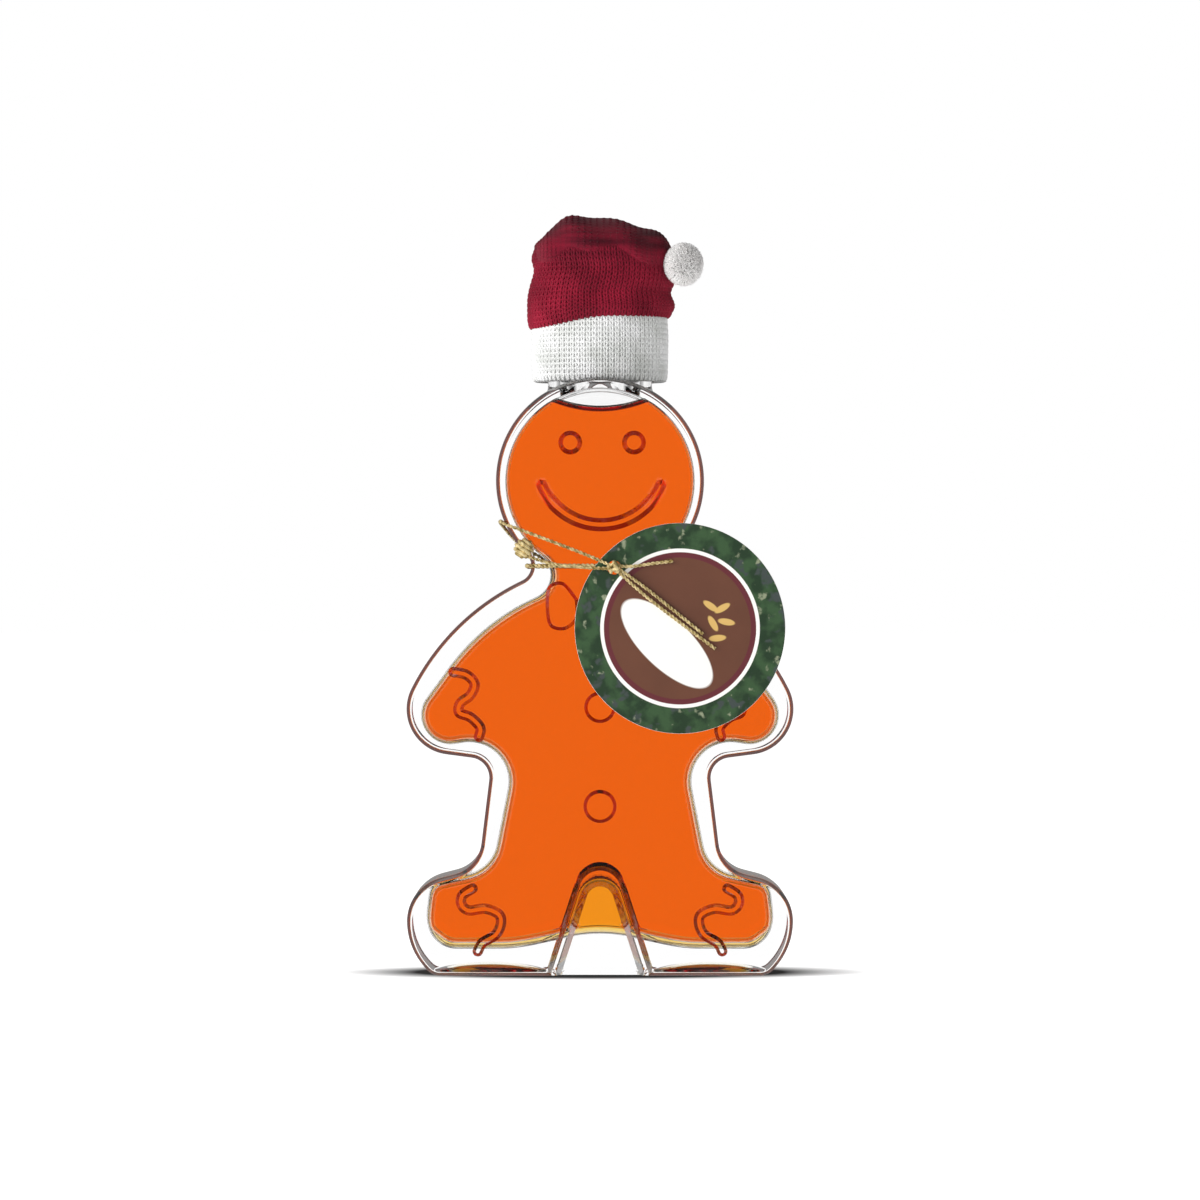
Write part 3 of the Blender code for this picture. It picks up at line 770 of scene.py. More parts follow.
def make_glass_material():
    """Clear glass with painted shade on its narrow moulded edges: a dark tint that swallows light there."""
    material = clear_material("clear_bottle_glass", GLASS_IOR, 0.0)
    tree = material.node_tree
    coordinate = tree.nodes.new("ShaderNodeTexCoord")
    depths = []
    for name in ("Normal", "Object"):
        split = tree.nodes.new("ShaderNodeSeparateXYZ")
        tree.links.new(coordinate.outputs[name], split.inputs[0])
        depth = tree.nodes.new("ShaderNodeMath")
        depth.operation = "ABSOLUTE"
        tree.links.new(split.outputs["Y"], depth.inputs[0])
        depths.append(depth.outputs[0])
    steep = ramp(tree, depths[0], PAINTED_SHADE_STEEPNESS)
    outer = map_range(tree, depths[1], PAINTED_SHADE_FROM * MM, (PAINTED_SHADE_FROM + 0.5) * MM)
    share = tree.nodes.new("ShaderNodeMath")
    share.operation = "MULTIPLY"
    tree.links.new(steep, share.inputs[0])
    tree.links.new(outer, share.inputs[1])
    raised = map_range(tree, depths[1], HALF_DEPTH * MM, (HALF_DEPTH + 0.1) * MM)
    edge_shade_tint = mix_colour(tree, raised, EDGE_PAINTED_SHADE, RELIEF_PAINTED_SHADE)
    # The painted shade goes into the glass's colour on steep faces.
    colour = mix_colour(tree, share.outputs[0], (1.0, 1.0, 1.0), edge_shade_tint)
    tree.links.new(colour, tree.nodes["Principled BSDF"].inputs["Base Color"])
    return material


def make_syrup_material():
    material = clear_material("amber_syrup_fill", SYRUP_IOR, 0.0)
    tree = material.node_tree
    # Wet glass mirrors almost nothing, so the syrup has no reflection of its own.
    tree.nodes["Principled BSDF"].inputs["Specular Tint"].default_value = (0.0, 0.0, 0.0, 1.0)
    most = max(SYRUP_ABSORBS)
    absorb = tree.nodes.new("ShaderNodeVolumeAbsorption")
    absorb.inputs["Color"].default_value = (*[1 - value / most for value in SYRUP_ABSORBS], 1.0)
    absorb.inputs["Density"].default_value = most
    tree.links.new(absorb.outputs[0], tree.nodes["Material Output"].inputs["Volume"])
    coordinate = tree.nodes.new("ShaderNodeTexCoord")
    # Painted shade: where the syrup climbs the glass at its level, its surface is made near black.
    shares = []
    for name, low, high in (("Normal", 0.25, 0.4), ("Object", 0.1388, 0.1392)):
        split = tree.nodes.new("ShaderNodeSeparateXYZ")
        tree.links.new(coordinate.outputs[name], split.inputs[0])
        shares.append(map_range(tree, split.outputs["Z"], low, high))
    share = tree.nodes.new("ShaderNodeMath")
    share.operation = "MULTIPLY"
    for k in (0, 1):
        tree.links.new(shares[k], share.inputs[k])
    colour = mix_colour(tree, share.outputs[0], (1.0, 1.0, 1.0), MENISCUS_PAINTED_SHADE)
    tree.links.new(colour, tree.nodes["Principled BSDF"].inputs["Base Color"])
    return material


def dress(piece, material, node):
    """Gives a piece its material and its place in the frame, and hides the CAD node it stands for."""
    piece.data.materials.clear()
    piece.data.materials.append(material)
    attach(piece, "root")
    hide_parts(node)


for piece in (bottle, syrup):
    piece.data.shade_smooth()
    piece.data.set_sharp_from_angle(angle=math.radians(40))
dress(bottle, make_glass_material(), "bottle")
dress(syrup, make_syrup_material(), "syrup")

# %% [markdown]
# The hat is machine knitted. Every loop of yarn shows as a small V, and the Vs stand in
# columns. Geometry Nodes bend one yarn leg, mirror it into a V and set a copy on every site of
# a base surface. The sites carry their own turn and size, so columns run up the sides, follow
# the boundary where red meets white, and lie along the roll at the slouched top.

# %% Knit: one stitch, many sites
WALE = 1.45
COURSE = 1.25
YARN = 0.30


class Tree:
    """A Geometry Nodes tree that is written one short line per node."""

    def __init__(self, name):
        self.tree = bpy.data.node_groups.new(name, "GeometryNodeTree")
        self.tree.interface.new_socket("Geometry", in_out="OUTPUT", socket_type="NodeSocketGeometry")
        self.tree.interface.new_socket("Geometry", in_out="INPUT", socket_type="NodeSocketGeometry")
        self.inlet = None

    def inputs(self, **kinds):
        for name, (kind, default) in kinds.items():
            socket = self.tree.interface.new_socket(name, in_out="INPUT", socket_type="NodeSocket" + kind)
            if default is not None:
                socket.default_value = default
        self.inlet = self.tree.nodes.new("NodeGroupInput").outputs

    def node(self, kind, settings=None, **values):
        made = self.tree.nodes.new(kind)
        for name, value in (settings or {}).items():
            setattr(made, name, value)
        for name, value in values.items():
            name = name.replace("_", " ")
            socket = made.inputs[int(name[1:])] if name[0] == "n" and name[1:].isdigit() else made.inputs[name]
            if isinstance(value, (list, bpy.types.NodeSocket)):
                for link in value if isinstance(value, list) else [value]:
                    self.tree.links.new(link, socket)
            else:
                socket.default_value = value
        return made.outputs

    def maths(self, operation, first, second):
        return self.node("ShaderNodeMath", {"operation": operation}, n0=first, n1=second)[0]

    def vector(self, x=0.0, y=0.0, z=0.0):
        return self.node("ShaderNodeCombineXYZ", X=x, Y=y, Z=z)[0]

    def finish(self, geometry):
        self.tree.links.new(geometry, self.tree.nodes.new("NodeGroupOutput").inputs[0])
        return self.tree


def stitch_tree():
    t = Tree("knit_stitches")
    t.inputs(Wale=("Float", WALE * MM), Course=("Float", COURSE * MM), Yarn=("Float", YARN * MM),
             Material=("Material", None))
    wale, course, yarn = (t.inlet[k] for k in ("Wale", "Course", "Yarn"))
    points = []
    for across, along, out in ((0.13, -0.6, 0.1), (0.14, 0.15, 1.7), (0.40, 0.72, 0.2)):
        points.append(t.vector(t.maths("MULTIPLY", wale, across), t.maths("MULTIPLY", course, along),
                               t.maths("MULTIPLY", yarn, out)))
    bend = t.node("GeometryNodeCurveQuadraticBezier", Resolution=3, Start=points[0], Middle=points[1],
                  End=points[2])[0]
    round_yarn = t.node("GeometryNodeCurvePrimitiveCircle", {"mode": "RADIUS"}, Resolution=5, Radius=yarn)[0]
    leg = t.node("GeometryNodeCurveToMesh", Curve=bend, Profile_Curve=round_yarn)[0]
    other = t.node("GeometryNodeTransform", Geometry=leg, Scale=(-1.0, 1.0, 1.0))[0]
    other = t.node("GeometryNodeFlipFaces", Mesh=other)[0]
    stitch = t.node("GeometryNodeJoinGeometry", Geometry=[leg, other])[0]
    sites = t.node("GeometryNodeMeshToPoints", {"mode": "FACES"}, Mesh=t.inlet["Geometry"])[0]
    turn = t.node("GeometryNodeInputNamedAttribute", {"data_type": "FLOAT_VECTOR"}, Name="stitch_turn")[0]
    turn = t.node("FunctionNodeEulerToRotation", Euler=turn)[0]
    size = t.node("GeometryNodeInputNamedAttribute", {"data_type": "FLOAT_VECTOR"}, Name="stitch_size")[0]
    set_out = t.node("GeometryNodeInstanceOnPoints", Points=sites, Instance=stitch, Rotation=turn, Scale=size)[0]
    loose = t.node("GeometryNodeRealizeInstances", Geometry=set_out)[0]
    joined = t.node("GeometryNodeJoinGeometry", Geometry=[loose, t.inlet["Geometry"]])[0]
    smooth = t.node("GeometryNodeSetShadeSmooth", Geometry=joined)[0]
    return t.finish(t.node("GeometryNodeSetMaterial", Geometry=smooth, Material=t.inlet["Material"])[0])


def grow(piece, tree, **values):
    """Runs a tree on a piece with the given inputs and keeps the result as a plain mesh."""
    modifier = piece.modifiers.new(tree.name, "NODES")
    modifier.node_group = tree
    for item in tree.interface.items_tree:
        if item.in_out == "INPUT" and item.name in values:
            modifier[item.identifier] = values[item.name]
    bpy.context.view_layer.update()
    result = bpy.data.meshes.new_from_object(piece.evaluated_get(bpy.context.evaluated_depsgraph_get()))
    piece.modifiers.clear()
    piece.data = result
    for name in ("stitch_turn", "stitch_size"):
        if name in result.attributes:
            result.attributes.remove(result.attributes[name])
    return piece


KNIT = stitch_tree()


def knit_base(name, surfaces):
    """A base mesh of one or more grids. A grid has its points as rows of rings, which the
    columns of stitches cross, and comes with the height of its stitches."""
    vertices, faces, turns, sizes = [], [], [], []
    for grid, height in surfaces:
        rows, cols = grid.shape[:2]
        first = sum(len(v) for v in vertices)
        vertices.append(grid.reshape(-1, 3))
        for i in range(rows - 1):
            for k in range(cols):
                m = (k + 1) % cols
                corners = grid[i, k], grid[i, m], grid[i + 1, m], grid[i + 1, k]
                faces.append([first + i * cols + k, first + i * cols + m, first + (i + 1) * cols + m,
                              first + (i + 1) * cols + k])
                across = corners[1] + corners[2] - corners[0] - corners[3]
                up = corners[2] + corners[3] - corners[0] - corners[1]
                out = np.cross(across, up)
                width, length = np.linalg.norm(across) / 2, np.linalg.norm(up) / 2
                z_axis = out / max(np.linalg.norm(out), 1e-9)
                y_axis = up / max(np.linalg.norm(up), 1e-9)
                y_axis = y_axis - z_axis * (y_axis @ z_axis)
                y_axis = y_axis / max(np.linalg.norm(y_axis), 1e-9)
                matrix = Matrix(np.column_stack([np.cross(y_axis, z_axis), y_axis, z_axis]).tolist())
                turns.append(matrix.to_euler())
                sizes.append((width / WALE, length / COURSE, height * min(1.0, width / WALE * 1.5)))
        for row in (0, rows - 1):
            ring = [first + row * cols + k for k in range(cols)]
            faces.append(ring[::-1] if row == 0 else ring)
            turns.append((0.0, 0.0, 0.0))
            sizes.append((1e-3, 1e-3, 1e-3))
    mesh = bpy.data.meshes.new(name)
    mesh.from_pydata((np.vstack(vertices) * MM).tolist(), [], faces)
    for label, values in (("stitch_turn", turns), ("stitch_size", sizes)):
        attribute = mesh.attributes.new(label, "FLOAT_VECTOR", "FACE")
        attribute.data.foreach_set("vector", np.array([tuple(v) for v in values], dtype=np.float32).ravel())
    base = bpy.data.objects.new(name, mesh)
    bpy.context.scene.collection.objects.link(base)
    return base


# %% The red crown
CROWN_SIDES = ((160.9, 165.3, -17.2, 17.0, 16.9), (163.4, 166.0, -17.9, 18.0, 17.6),
               (166.5, 167.4, -17.9, 17.9, 17.6), (169.6, 169.8, -17.5, 17.2, 17.1),
               (172.4, 172.4, -17.0, 18.0, 16.9), (175.6, 175.6, -16.1, 18.0, 16.3),
               (178.6, 178.6, -16.7, 17.7, 16.0), (181.6, 181.6, -15.4, 16.4, 14.8),
               (183.4, 183.4, -12.0, 13.0, 11.5))
ROLL_TOP = ((-16.4, 181.5), (-14.4, 183.6), (-12.9, 185.4), (-8.4, 188.5), (-3.6, 189.0), (2.8, 188.1),
            (8.4, 186.9), (13.6, 185.2), (16.6, 183.3), (18.0, 180.8))
ROLL_FOOT = 173.5
WALES = 74


def through(rows, count):
    """Catmull-Rom rows between the given ones, count for each step."""
    return np.array(smooth_line([tuple(r) for r in rows], count))


def crown_sides():
    """Rings from the brim up; the lower edge hangs 3 mm lower at the left than at the right."""
    rows = through(CROWN_SIDES, 6)
    lengths = np.r_[0, np.cumsum(np.hypot(np.diff(rows[:, 0]), np.diff(rows[:, 2])))]
    steps = round(lengths[-1] / COURSE)
    at = np.linspace(0, lengths[-1], steps + 1)
    rows = np.column_stack([np.interp(at, lengths, rows[:, k]) for k in range(5)])
    turns = np.linspace(0, 2 * math.pi, WALES + 1)[:-1]
    grid = np.empty((len(rows), WALES, 3))
    for i, (z_left, z_right, left, right, depth) in enumerate(rows):
        x = (left + right) / 2 + (right - left) / 2 * np.cos(turns)
        tilt = ease(x, -17.0, 2.0)
        lump = 0.25 * np.sin(3 * turns + 0.5 * i) * np.sin(i * 0.45)
        grid[i, :, 0] = x + lump * np.cos(turns)
        grid[i, :, 1] = (depth + lump) * np.sin(turns)
        grid[i, :, 2] = z_left + (min(z_right, z_left + 2.8) - z_left) * tilt
    return grid


def crown_roll():
    """The slouched tip: a soft roll that lies across the top from left to right."""
    top = through(ROLL_TOP, 8)
    start, end = top[0, 0], top[-1, 0]
    count = round((end - start) * 1.15 / COURSE)
    around = 46
    grid = np.empty((count + 1, around, 3))
    for i in range(count + 1):
        s = math.cos(math.pi * (1 - (i + 0.35) / (count + 0.7)))
        x = (start + end) / 2 + (end - start) / 2 * s
        high = float(np.interp(x, top[:, 0], top[:, 1]))
        full = (1 - abs(s) ** 2.6) ** (1 / 2.6)
        middle = (high + ROLL_FOOT - 1.2 * s) / 2
        radius = (high - ROLL_FOOT + 1.2 * s) / 2
        depth = (15.9 - 2.0 * ease(np.array(x), 2.0, 18.0)) * max(full, 0.08)
        turns = np.linspace(0, 2 * math.pi, around + 1)[:-1]
        puff = 1 + 0.05 * np.sin(2 * turns + 0.8 * i)
        grid[i, :, 0] = x
        grid[i, :, 1] = -1.5 * ease(np.array(x), 0.0, 18.0) - depth * puff * np.sin(turns)
        grid[i, :, 2] = middle - radius * puff * np.cos(turns)
    return grid


crown = knit_base("hat_crown_knit", [(crown_sides(), 1.0), (crown_roll(), 0.3)])
print("crown sites", len(crown.data.polygons))

# %% The white cuff
CUFF_ROWS = ((147.9, 15.0), (147.7, 15.9), (148.3, 16.4), (150.0, 16.45), (154.0, 16.55), (158.0, 16.6),
             (161.5, 16.5), (164.6, 16.2))


def cuff_grid():
    rows = through(CUFF_ROWS, 8)
    lengths = np.r_[0, np.cumsum(np.hypot(np.diff(rows[:, 0]), np.diff(rows[:, 1])))]
    at = np.linspace(0, lengths[-1], round(lengths[-1] / COURSE) + 1)
    turns = np.linspace(0, 2 * math.pi, WALES + 1)[:-1]
    grid = np.empty((len(at), WALES, 3))
    for i, (z, r) in enumerate(zip(np.interp(at, lengths, rows[:, 0]), np.interp(at, lengths, rows[:, 1]))):
        grid[i, :, 0] = r * np.cos(turns)
        grid[i, :, 1] = r * np.sin(turns)
        grid[i, :, 2] = z
    return grid


cuff = knit_base("hat_cuff_knit", [(cuff_grid(), 1.0)])
print("cuff sites", len(cuff.data.polygons))

# %% Wool
# Painted shade in the folds of the crown's roll: the stretch of its streak noise and its dark red.
CREASE_SHADE_STRETCH = (50.0, 50.0, 520.0)
CREASE_SHADE_RED = (0.055, 0.004, 0.010)


def fibre_group():
    """Shade and fine height of spun wool: colour drift over a few stitches, and hair-fine grain."""
    group = bpy.data.node_groups.new("wool_fibres", "ShaderNodeTree")
    face = group.interface
    for name, default in (("Drift", 120.0), ("Grain", 2600.0)):
        face.new_socket(name, in_out="INPUT", socket_type="NodeSocketFloat").default_value = default
    face.new_socket("Shade", in_out="OUTPUT", socket_type="NodeSocketFloat")
    face.new_socket("Height", in_out="OUTPUT", socket_type="NodeSocketFloat")
    inlet = group.nodes.new("NodeGroupInput")
    outlet = group.nodes.new("NodeGroupOutput")
    coordinate = group.nodes.new("ShaderNodeTexCoord")
    for name, out in (("Drift", "Shade"), ("Grain", "Height")):
        noise = group.nodes.new("ShaderNodeTexNoise")
        noise.inputs["Detail"].default_value = 3.0
        group.links.new(coordinate.outputs["Object"], noise.inputs["Vector"])
        group.links.new(inlet.outputs[name], noise.inputs["Scale"])
        group.links.new(noise.outputs["Fac"], outlet.inputs[out])
    return group


FIBRES = fibre_group()


def paint_crease_shade(tree, colour):
    """Painted shade: level dark streaks in the roll at the crown's top, above 176 mm, standing in for shade in its
    folds.
    """
    coordinate = tree.nodes.new("ShaderNodeTexCoord")
    stretch = tree.nodes.new("ShaderNodeMapping")
    stretch.inputs["Scale"].default_value = CREASE_SHADE_STRETCH
    noise = tree.nodes.new("ShaderNodeTexNoise")
    noise.inputs["Scale"].default_value = 1.0
    noise.inputs["Detail"].default_value = 3.0
    split = tree.nodes.new("ShaderNodeSeparateXYZ")
    tree.links.new(coordinate.outputs["Object"], stretch.inputs["Vector"])
    tree.links.new(stretch.outputs[0], noise.inputs["Vector"])
    tree.links.new(coordinate.outputs["Object"], split.inputs[0])
    deep = map_range(tree, noise.outputs["Fac"], 0.35, 0.62, 0.95, 0.45)
    high = map_range(tree, split.outputs["Z"], 0.174, 0.182)
    share = tree.nodes.new("ShaderNodeMath")
    share.operation = "MULTIPLY"
    tree.links.new(deep, share.inputs[0])
    tree.links.new(high, share.inputs[1])
    return mix_colour(tree, share.outputs[0], colour, CREASE_SHADE_RED)


def wool_material(name, dark, light, drift=120.0, crease_shade=False):
    material = bpy.data.materials.new(name)
    material.use_nodes = True
    tree = material.node_tree
    shader = tree.nodes["Principled BSDF"]
    shader.inputs["Roughness"].default_value = 0.95
    shader.inputs["Specular IOR Level"].default_value = 0.15
    shader.inputs["Sheen Weight"].default_value = 0.06
    shader.inputs["Sheen Roughness"].default_value = 0.5
    fibres = tree.nodes.new("ShaderNodeGroup")
    fibres.node_tree = FIBRES
    fibres.inputs["Drift"].default_value = drift
    share = map_range(tree, fibres.outputs["Shade"], 0.35, 0.65)
    colour = mix_colour(tree, share, dark, light)
    tree.links.new(paint_crease_shade(tree, colour) if crease_shade else colour, shader.inputs["Base Color"])
    bump = tree.nodes.new("ShaderNodeBump")
    bump.inputs["Strength"].default_value = 0.5
    bump.inputs["Distance"].default_value = 0.0002
    tree.links.new(fibres.outputs["Height"], bump.inputs["Height"])
    tree.links.new(bump.outputs[0], shader.inputs["Normal"])
    return material


# The red wool carries the painted crease shade.
RED_WOOL = wool_material("red_wool", (0.16, 0.006, 0.018), (0.27, 0.010, 0.030), crease_shade=True)
WHITE_WOOL = wool_material("white_wool", (0.62, 0.63, 0.61), (0.80, 0.80, 0.80))
POM_WOOL = wool_material("pompom_wool", (0.90, 0.88, 0.87), (0.97, 0.96, 0.95), 300.0)
grow(crown, KNIT, Material=RED_WOOL)
grow(cuff, KNIT, Material=WHITE_WOOL)
dress(crown, RED_WOOL, "hat_crown")
dress(cuff, WHITE_WOOL, "hat_cuff")
print("knit triangles", [sum(len(p.vertices) - 2 for p in o.data.polygons) for o in (crown, cuff)])

# %% [markdown]
# A pompom is a bundle of short cut yarn ends. A soft core is covered with thousands of fine
# tapered fibres that lean a little at random, also by Geometry Nodes.

# %% The pompom
POMPOM = (20.8, -9.7, 176.5)
POMPOM_R = (3.8, 3.8, 4.3)


def fibre_tree():
    t = Tree("pompom_fibres")
    t.inputs(Count=("Float", 2.6e7), Length=("Float", 1.3 * MM), Thick=("Float", 0.13 * MM),
             Seed=("Int", 4), Material=("Material", None))
    core = t.inlet["Geometry"]
    spots = t.node("GeometryNodeDistributePointsOnFaces", Mesh=core, Density=t.inlet["Count"],
                   Seed=t.inlet["Seed"])
    lean = t.node("FunctionNodeRandomValue", {"data_type": "FLOAT_VECTOR"}, n0=(-0.7, -0.7, -3.0),
                  n1=(0.7, 0.7, 3.0), Seed=t.inlet["Seed"])[0]
    lean = t.node("FunctionNodeEulerToRotation", Euler=lean)[0]
    turn = t.node("FunctionNodeRotateRotation", {"rotation_space": "LOCAL"}, n0=spots["Rotation"], n1=lean)[0]
    fibre = t.node("GeometryNodeMeshCone", Vertices=3, Side_Segments=2, Radius_Top=t.maths(
        "MULTIPLY", t.inlet["Thick"], 0.35), Radius_Bottom=t.inlet["Thick"], Depth=t.inlet["Length"])[0]
    set_out = t.node("GeometryNodeInstanceOnPoints", Points=spots["Points"], Instance=fibre, Rotation=turn)[0]
    loose = t.node("GeometryNodeRealizeInstances", Geometry=set_out)[0]
    joined = t.node("GeometryNodeJoinGeometry", Geometry=[loose, core])[0]
    smooth = t.node("GeometryNodeSetShadeSmooth", Geometry=joined)[0]
    return t.finish(t.node("GeometryNodeSetMaterial", Geometry=smooth, Material=t.inlet["Material"])[0])


pompom = ball("pompom_fluff", POMPOM, POMPOM_R, 4)
grow(pompom, fibre_tree(), Material=POM_WOOL)
dress(pompom, POM_WOOL, "hat_pompom")
print("pompom triangles", sum(len(p.vertices) - 2 for p in pompom.data.polygons))

# %% [markdown]
# The tag is a stiff printed card disc. Its print is built from simple shapes: rings that
# follow the distance from the centre, a marbled border from noise, a plain white oval and a
# small gold sprig. Nothing is written on it.

# %% The card tag
TAG_CENTRE = (19.75, 86.0)
TAG_R = 26.0
TAG_BACK = -25.0
TAG_THICK = 0.8
TAG_HOLE = (3.5, 101.0, 1.7)


def make_tag():
    profile = [(0.0, 0.0), (TAG_R - 0.12, 0.0), (TAG_R, 0.12), (TAG_R, TAG_THICK - 0.12),
               (TAG_R - 0.12, TAG_THICK), (0.0, TAG_THICK)]
    tag = lathe("tag_card", profile, 180)
    hole = lathe("tag_hole", [(0.0, -1.0), (TAG_HOLE[2], -1.0), (TAG_HOLE[2], 2.0), (0.0, 2.0)], 40)
    shift = Matrix.Translation(Vector((TAG_HOLE[0] - TAG_CENTRE[0], TAG_HOLE[1] - TAG_CENTRE[1], 0.0)) * MM)
    hole.data.transform(shift)
    combine(tag, hole, "DIFFERENCE")
    place = Matrix.Translation(Vector((TAG_CENTRE[0], TAG_BACK, TAG_CENTRE[1])) * MM)
    tag.data.transform(place @ Matrix.Rotation(math.pi / 2, 4, "X"))
    tag.data.shade_smooth()
    tag.data.set_sharp_from_angle(angle=math.radians(30))
    return tag


class Print:
    """Flat shapes in millimetres on the card's front, as masks for one material."""

    def __init__(self, tree):
        self.tree = tree
        self.coordinate = tree.nodes.new("ShaderNodeTexCoord").outputs["Object"]

    def placed(self, x, z, turn=0.0, size=(1.0, 1.0)):
        """Coordinates with their origin at x, z on the card, turned, and size wide and high."""
        node = self.tree.nodes.new("ShaderNodeMapping")
        node.vector_type = "TEXTURE"
        node.inputs["Location"].default_value = (x * MM, 0.0, z * MM)
        node.inputs["Rotation"].default_value = (0.0, turn, 0.0)
        node.inputs["Scale"].default_value = (size[0] * MM, 1e3, size[1] * MM)
        self.tree.links.new(self.coordinate, node.inputs["Vector"])
        return node.outputs[0]

    def length(self, vector):
        node = self.tree.nodes.new("ShaderNodeVectorMath")
        node.operation = "LENGTH"
        self.tree.links.new(vector, node.inputs[0])
        return node.outputs["Value"]

    def maths(self, operation, first, second):
        node = self.tree.nodes.new("ShaderNodeMath")
        node.operation = operation
        for socket, value in zip(node.inputs, (first, second)):
            if isinstance(value, bpy.types.NodeSocket):
                self.tree.links.new(value, socket)
            else:
                socket.default_value = value
        return node.outputs[0]

    def ellipse(self, x, z, turn, size, edge=0.03):
        return map_range(self.tree, self.length(self.placed(x, z, turn, size)), 1 + edge, 1 - edge)

    def noise(self, scale, detail=3.0, offset=0.0):
        node = self.tree.nodes.new("ShaderNodeTexNoise")
        node.inputs["Scale"].default_value = scale
        node.inputs["Detail"].default_value = detail
        place = self.tree.nodes.new("ShaderNodeMapping")
        place.inputs["Location"].default_value = (offset, offset, 0.0)
        self.tree.links.new(self.coordinate, place.inputs["Vector"])
        self.tree.links.new(place.outputs[0], node.inputs["Vector"])
        return node.outputs["Fac"]


CARD_WHITE = (0.86, 0.84, 0.80)
MARBLE = ((0.014, 0.038, 0.015), (0.034, 0.082, 0.030), (0.045, 0.06, 0.055), (0.24, 0.27, 0.17))
BURGUNDY = (0.12, 0.018, 0.025)
BROWN = (0.10, 0.035, 0.018)
GOLD = (0.62, 0.40, 0.12)
SPRIG = ((27.3, 91.5, 35), (30.2, 91.0, -30), (31.2, 87.6, 10), (27.9, 87.2, 60), (29.0, 83.6, -5))


def printed_card():
    material = bpy.data.materials.new("printed_card")
    material.use_nodes = True
    tree = material.node_tree
    p = Print(tree)
    radius = p.maths("MULTIPLY", p.length(p.placed(*TAG_CENTRE)), 1.0)
    marble = mix_colour(tree, map_range(tree, p.noise(260.0), 0.42, 0.6), MARBLE[0], MARBLE[1])
    marble = mix_colour(tree, map_range(tree, p.noise(330.0, 2.0, 0.3), 0.58, 0.66), marble, MARBLE[2])
    marble = mix_colour(tree, map_range(tree, p.noise(420.0, 4.0, 0.7), 0.62, 0.7), marble, MARBLE[3])
    brown = mix_colour(tree, p.noise(90.0, 4.0, 0.2), BROWN, tuple(1.5 * c for c in BROWN))
    colour = mix_colour(tree, map_range(tree, radius, 17.45, 17.55), brown, BURGUNDY)
    for x, z, turn in SPRIG:
        leaf = p.ellipse(x, z, math.radians(turn), (2.1, 0.8), 0.1)
        colour = mix_colour(tree, leaf, colour, GOLD)
    colour = mix_colour(tree, p.ellipse(16.5, 82.25, math.radians(44), (14.6, 6.0), 0.02), colour, CARD_WHITE)
    colour = mix_colour(tree, map_range(tree, radius, 18.75, 18.85), colour, CARD_WHITE)
    colour = mix_colour(tree, map_range(tree, radius, 19.65, 19.75), colour, marble)
    front = tree.nodes.new("ShaderNodeSeparateXYZ")
    tree.links.new(p.coordinate, front.inputs[0])
    face = map_range(tree, front.outputs["Y"], (TAG_BACK - 0.70) * MM, (TAG_BACK - 0.74) * MM)
    colour = mix_colour(tree, face, CARD_WHITE, colour)
    shader = tree.nodes["Principled BSDF"]
    tree.links.new(colour, shader.inputs["Base Color"])
    shader.inputs["Roughness"].default_value = 0.45
    bump = tree.nodes.new("ShaderNodeBump")
    bump.inputs["Strength"].default_value = 0.15
    bump.inputs["Distance"].default_value = 0.0001
    tree.links.new(p.noise(1500.0), bump.inputs["Height"])
    tree.links.new(bump.outputs[0], shader.inputs["Normal"])
    return material


tag = make_tag()
dress(tag, printed_card(), "hang_tag")
print("tag faces", len(tag.data.polygons))

# %% [markdown]
# The cord is metallic gift cord: two gold plies twisted round each other. Each ply is swept as
# a tube along a helix about the cord's route, so the twist is real geometry. The loop round
# the throat, the wound bead, the knot and the tails are all made of the same tube.

# %% The gold cord
CORD_R = 0.45
BEAD = (-18.8, -24.4, 105.7, 2.6)
KNOT = (3.5, -27.6, 101.0, 1.85)
STRAND_HIGH = ((-12.0, 24.3, 102.2), (-20.0, 22.2, 106.8), (-24.4, 8.0, 111.6), (-24.75, -8.0, 112.6),
               (-22.9, -22.4, 111.6), (-14.4, -25.0, 108.4), (-4.0, -26.3, 104.4), (3.0, -27.0, 101.4))
STRAND_LOW = ((-18.0, -23.8, 103.8), (-11.0, -25.2, 101.8), (-3.0, -26.6, 101.0), (3.0, -27.0, 100.7))
TAILS = (((3.8, -27.2, 101.2), (10.0, -26.7, 96.9), (17.0, -26.5, 91.4), (25.4, -26.5, 84.6)),
         ((3.8, -27.2, 100.6), (11.0, -26.7, 94.2), (19.0, -26.5, 88.0), (28.4, -26.5, 81.0)),
         ((3.8, -27.2, 101.4), (8.0, -26.7, 101.3), (13.0, -26.5, 102.0), (18.0, -26.5, 102.6)))
PLY_PITCH = 2.2
LOOP_CORNER = 2.0


def even(points, spacing):
    """Points spaced evenly along a smooth curve through the given ones."""
    fine = smooth_line(points, 16)
    lengths = np.r_[0, np.cumsum(np.linalg.norm(np.diff(fine, axis=0), axis=1))]
    at = np.linspace(0, lengths[-1], max(3, round(lengths[-1] / spacing) + 1))
    return np.column_stack([np.interp(at, lengths, fine[:, k]) for k in range(3)])


def frames(path):
    """Two directions square to a path at each point, carried along it without twist."""
    forward = np.gradient(path, axis=0)
    forward /= np.linalg.norm(forward, axis=1)[:, None]
    side = np.cross(forward[0], (0.3, 0.2, 1.0))
    sides = []
    for ahead in forward:
        side = side - ahead * (side @ ahead)
        side = side / np.linalg.norm(side)
        sides.append(side)
    return np.array(sides), np.cross(forward, np.array(sides))


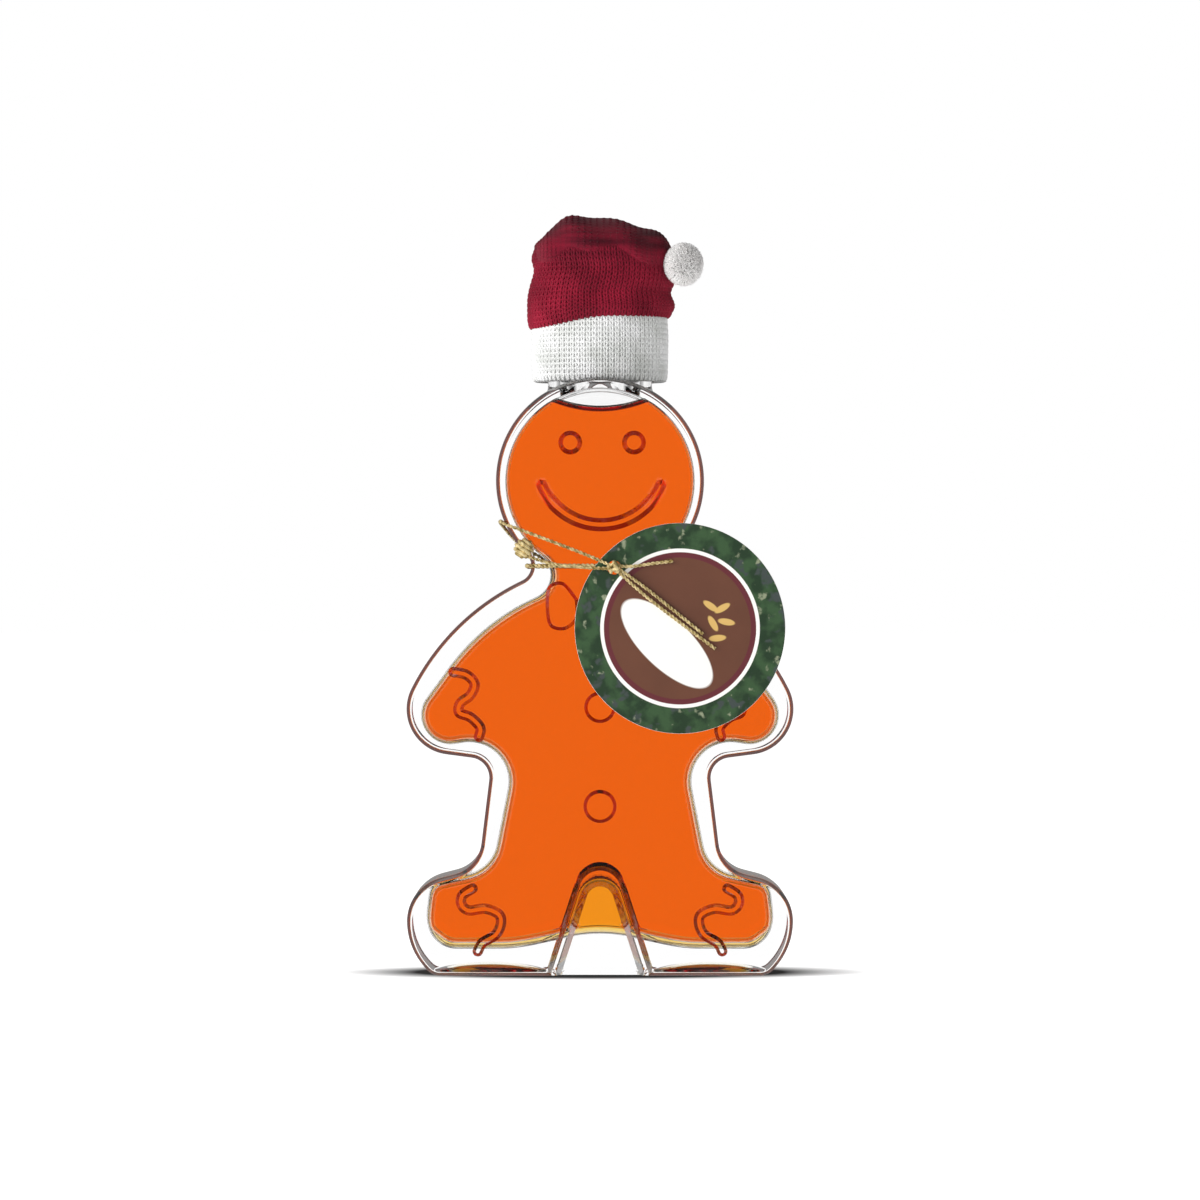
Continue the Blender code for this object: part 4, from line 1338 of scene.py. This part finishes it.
def sweep(path, radius, sides=8):
    """Vertices and faces of a tube along a path, with closed ends."""
    u, v = frames(path)
    radius = np.broadcast_to(radius, len(path))
    turns = np.linspace(0, 2 * math.pi, sides + 1)[:-1]
    rings = path[:, None] + radius[:, None, None] * (
        np.cos(turns)[None, :, None] * u[:, None] + np.sin(turns)[None, :, None] * v[:, None])
    faces = []
    for i in range(len(path) - 1):
        for k in range(sides):
            a, b = i * sides + k, i * sides + (k + 1) % sides
            faces.append((a, b, b + sides, a + sides))
    faces.append(tuple(range(sides))[::-1])
    faces.append(tuple(range((len(path) - 1) * sides, len(path) * sides)))
    return rings.reshape(-1, 3), faces


def twisted(points, radius=CORD_R, plies=2, pitch=PLY_PITCH, spacing=0.18):
    """The plies of a cord along a route."""
    path = even(points, spacing)
    u, v = frames(path)
    turn = 2 * math.pi * np.arange(len(path)) * spacing / pitch
    made = []
    for k in range(plies):
        angle = (turn + 2 * math.pi * k / plies)[:, None]
        offset = 0.5 * radius * (np.cos(angle) * u + np.sin(angle) * v)
        made.append(sweep(path + offset, 0.52 * radius, 7))
    return made


def wound_ball(centre, radius, turns, tilt, thread):
    """Cord wound round and round into a bead."""
    steps = turns * 30
    t = np.linspace(0, 1, steps)
    rise_at = math.pi * (0.08 + 0.84 * t)
    around = 2 * math.pi * turns * t
    points = np.column_stack([np.sin(rise_at) * np.cos(around), np.sin(rise_at) * np.sin(around), np.cos(rise_at)])
    points = points @ np.array(Matrix.Rotation(tilt, 3, "Y")).T * (radius - thread) + np.array(centre)
    return sweep(points, thread, 7)


def throat_loop():
    """Once round the throat at its narrowest, a hair off the glass."""
    x, z, r = figure_circles(GLASS_ROUNDS, HEAD[2], THROAT_R, CORNER, 0.0)[1]
    narrow = x + r + 0.95 - LOOP_CORNER
    deep = HALF_DEPTH + 0.95 - LOOP_CORNER
    quarter = [(math.cos(a), math.sin(a)) for a in np.linspace(0, math.pi / 2, 5)]
    right = [(narrow + LOOP_CORNER * c, deep + LOOP_CORNER * s) for c, s in quarter]
    right += [(narrow * share, right[-1][1]) for share in (0.7, 0.35)]
    back = right + [(0.0, right[-1][1])] + [(-px, py) for px, py in reversed(right)]
    return [(px, py, z) for px, py in back] + [(-px, -py, z) for px, py in back]


def join(name, parts):
    vertices, faces, first = [], [], 0
    for points, quads in parts:
        vertices.append(points)
        faces += [tuple(first + k for k in face) for face in quads]
        first += len(points)
    mesh = bpy.data.meshes.new(name)
    mesh.from_pydata((np.vstack(vertices) * MM).tolist(), [], faces)
    bm = bmesh.new()
    bm.from_mesh(mesh)
    bmesh.ops.recalc_face_normals(bm, faces=bm.faces)
    bm.to_mesh(mesh)
    bm.free()
    mesh.shade_smooth()
    made = bpy.data.objects.new(name, mesh)
    bpy.context.scene.collection.objects.link(made)
    return made


def make_cord():
    loop = throat_loop()
    parts = twisted(loop + loop[:1], 0.6)
    for route in (STRAND_HIGH, STRAND_LOW, *TAILS):
        parts += twisted(route)
    parts.append(wound_ball(BEAD[:3], BEAD[3], 5, 0.5, 0.5))
    parts.append(wound_ball(BEAD[:3], BEAD[3] * 0.8, 4, 2.0, 0.6))
    parts.append(wound_ball(KNOT[:3], KNOT[3], 2, 0.9, 0.45))
    parts.append(wound_ball(KNOT[:3], KNOT[3] * 0.8, 2, 2.4, 0.45))
    return join("gold_gift_cord", parts)


def gold_thread():
    material = bpy.data.materials.new("gold_thread")
    material.use_nodes = True
    tree = material.node_tree
    shader = tree.nodes["Principled BSDF"]
    shader.inputs["Metallic"].default_value = 0.3
    coordinate = tree.nodes.new("ShaderNodeTexCoord")
    noise = tree.nodes.new("ShaderNodeTexNoise")
    noise.inputs["Scale"].default_value = 900.0
    tree.links.new(coordinate.outputs["Object"], noise.inputs["Vector"])
    share = map_range(tree, noise.outputs["Fac"], 0.35, 0.65)
    tree.links.new(mix_colour(tree, share, (0.30, 0.21, 0.06), (0.88, 0.72, 0.38)), shader.inputs["Base Color"])
    tree.links.new(map_range(tree, noise.outputs["Fac"], 0.3, 0.7, 0.25, 0.5), shader.inputs["Roughness"])
    return material


cord = make_cord()
dress(cord, gold_thread(), "gold_cord")
print("cord triangles", sum(len(p.vertices) - 2 for p in cord.data.polygons))
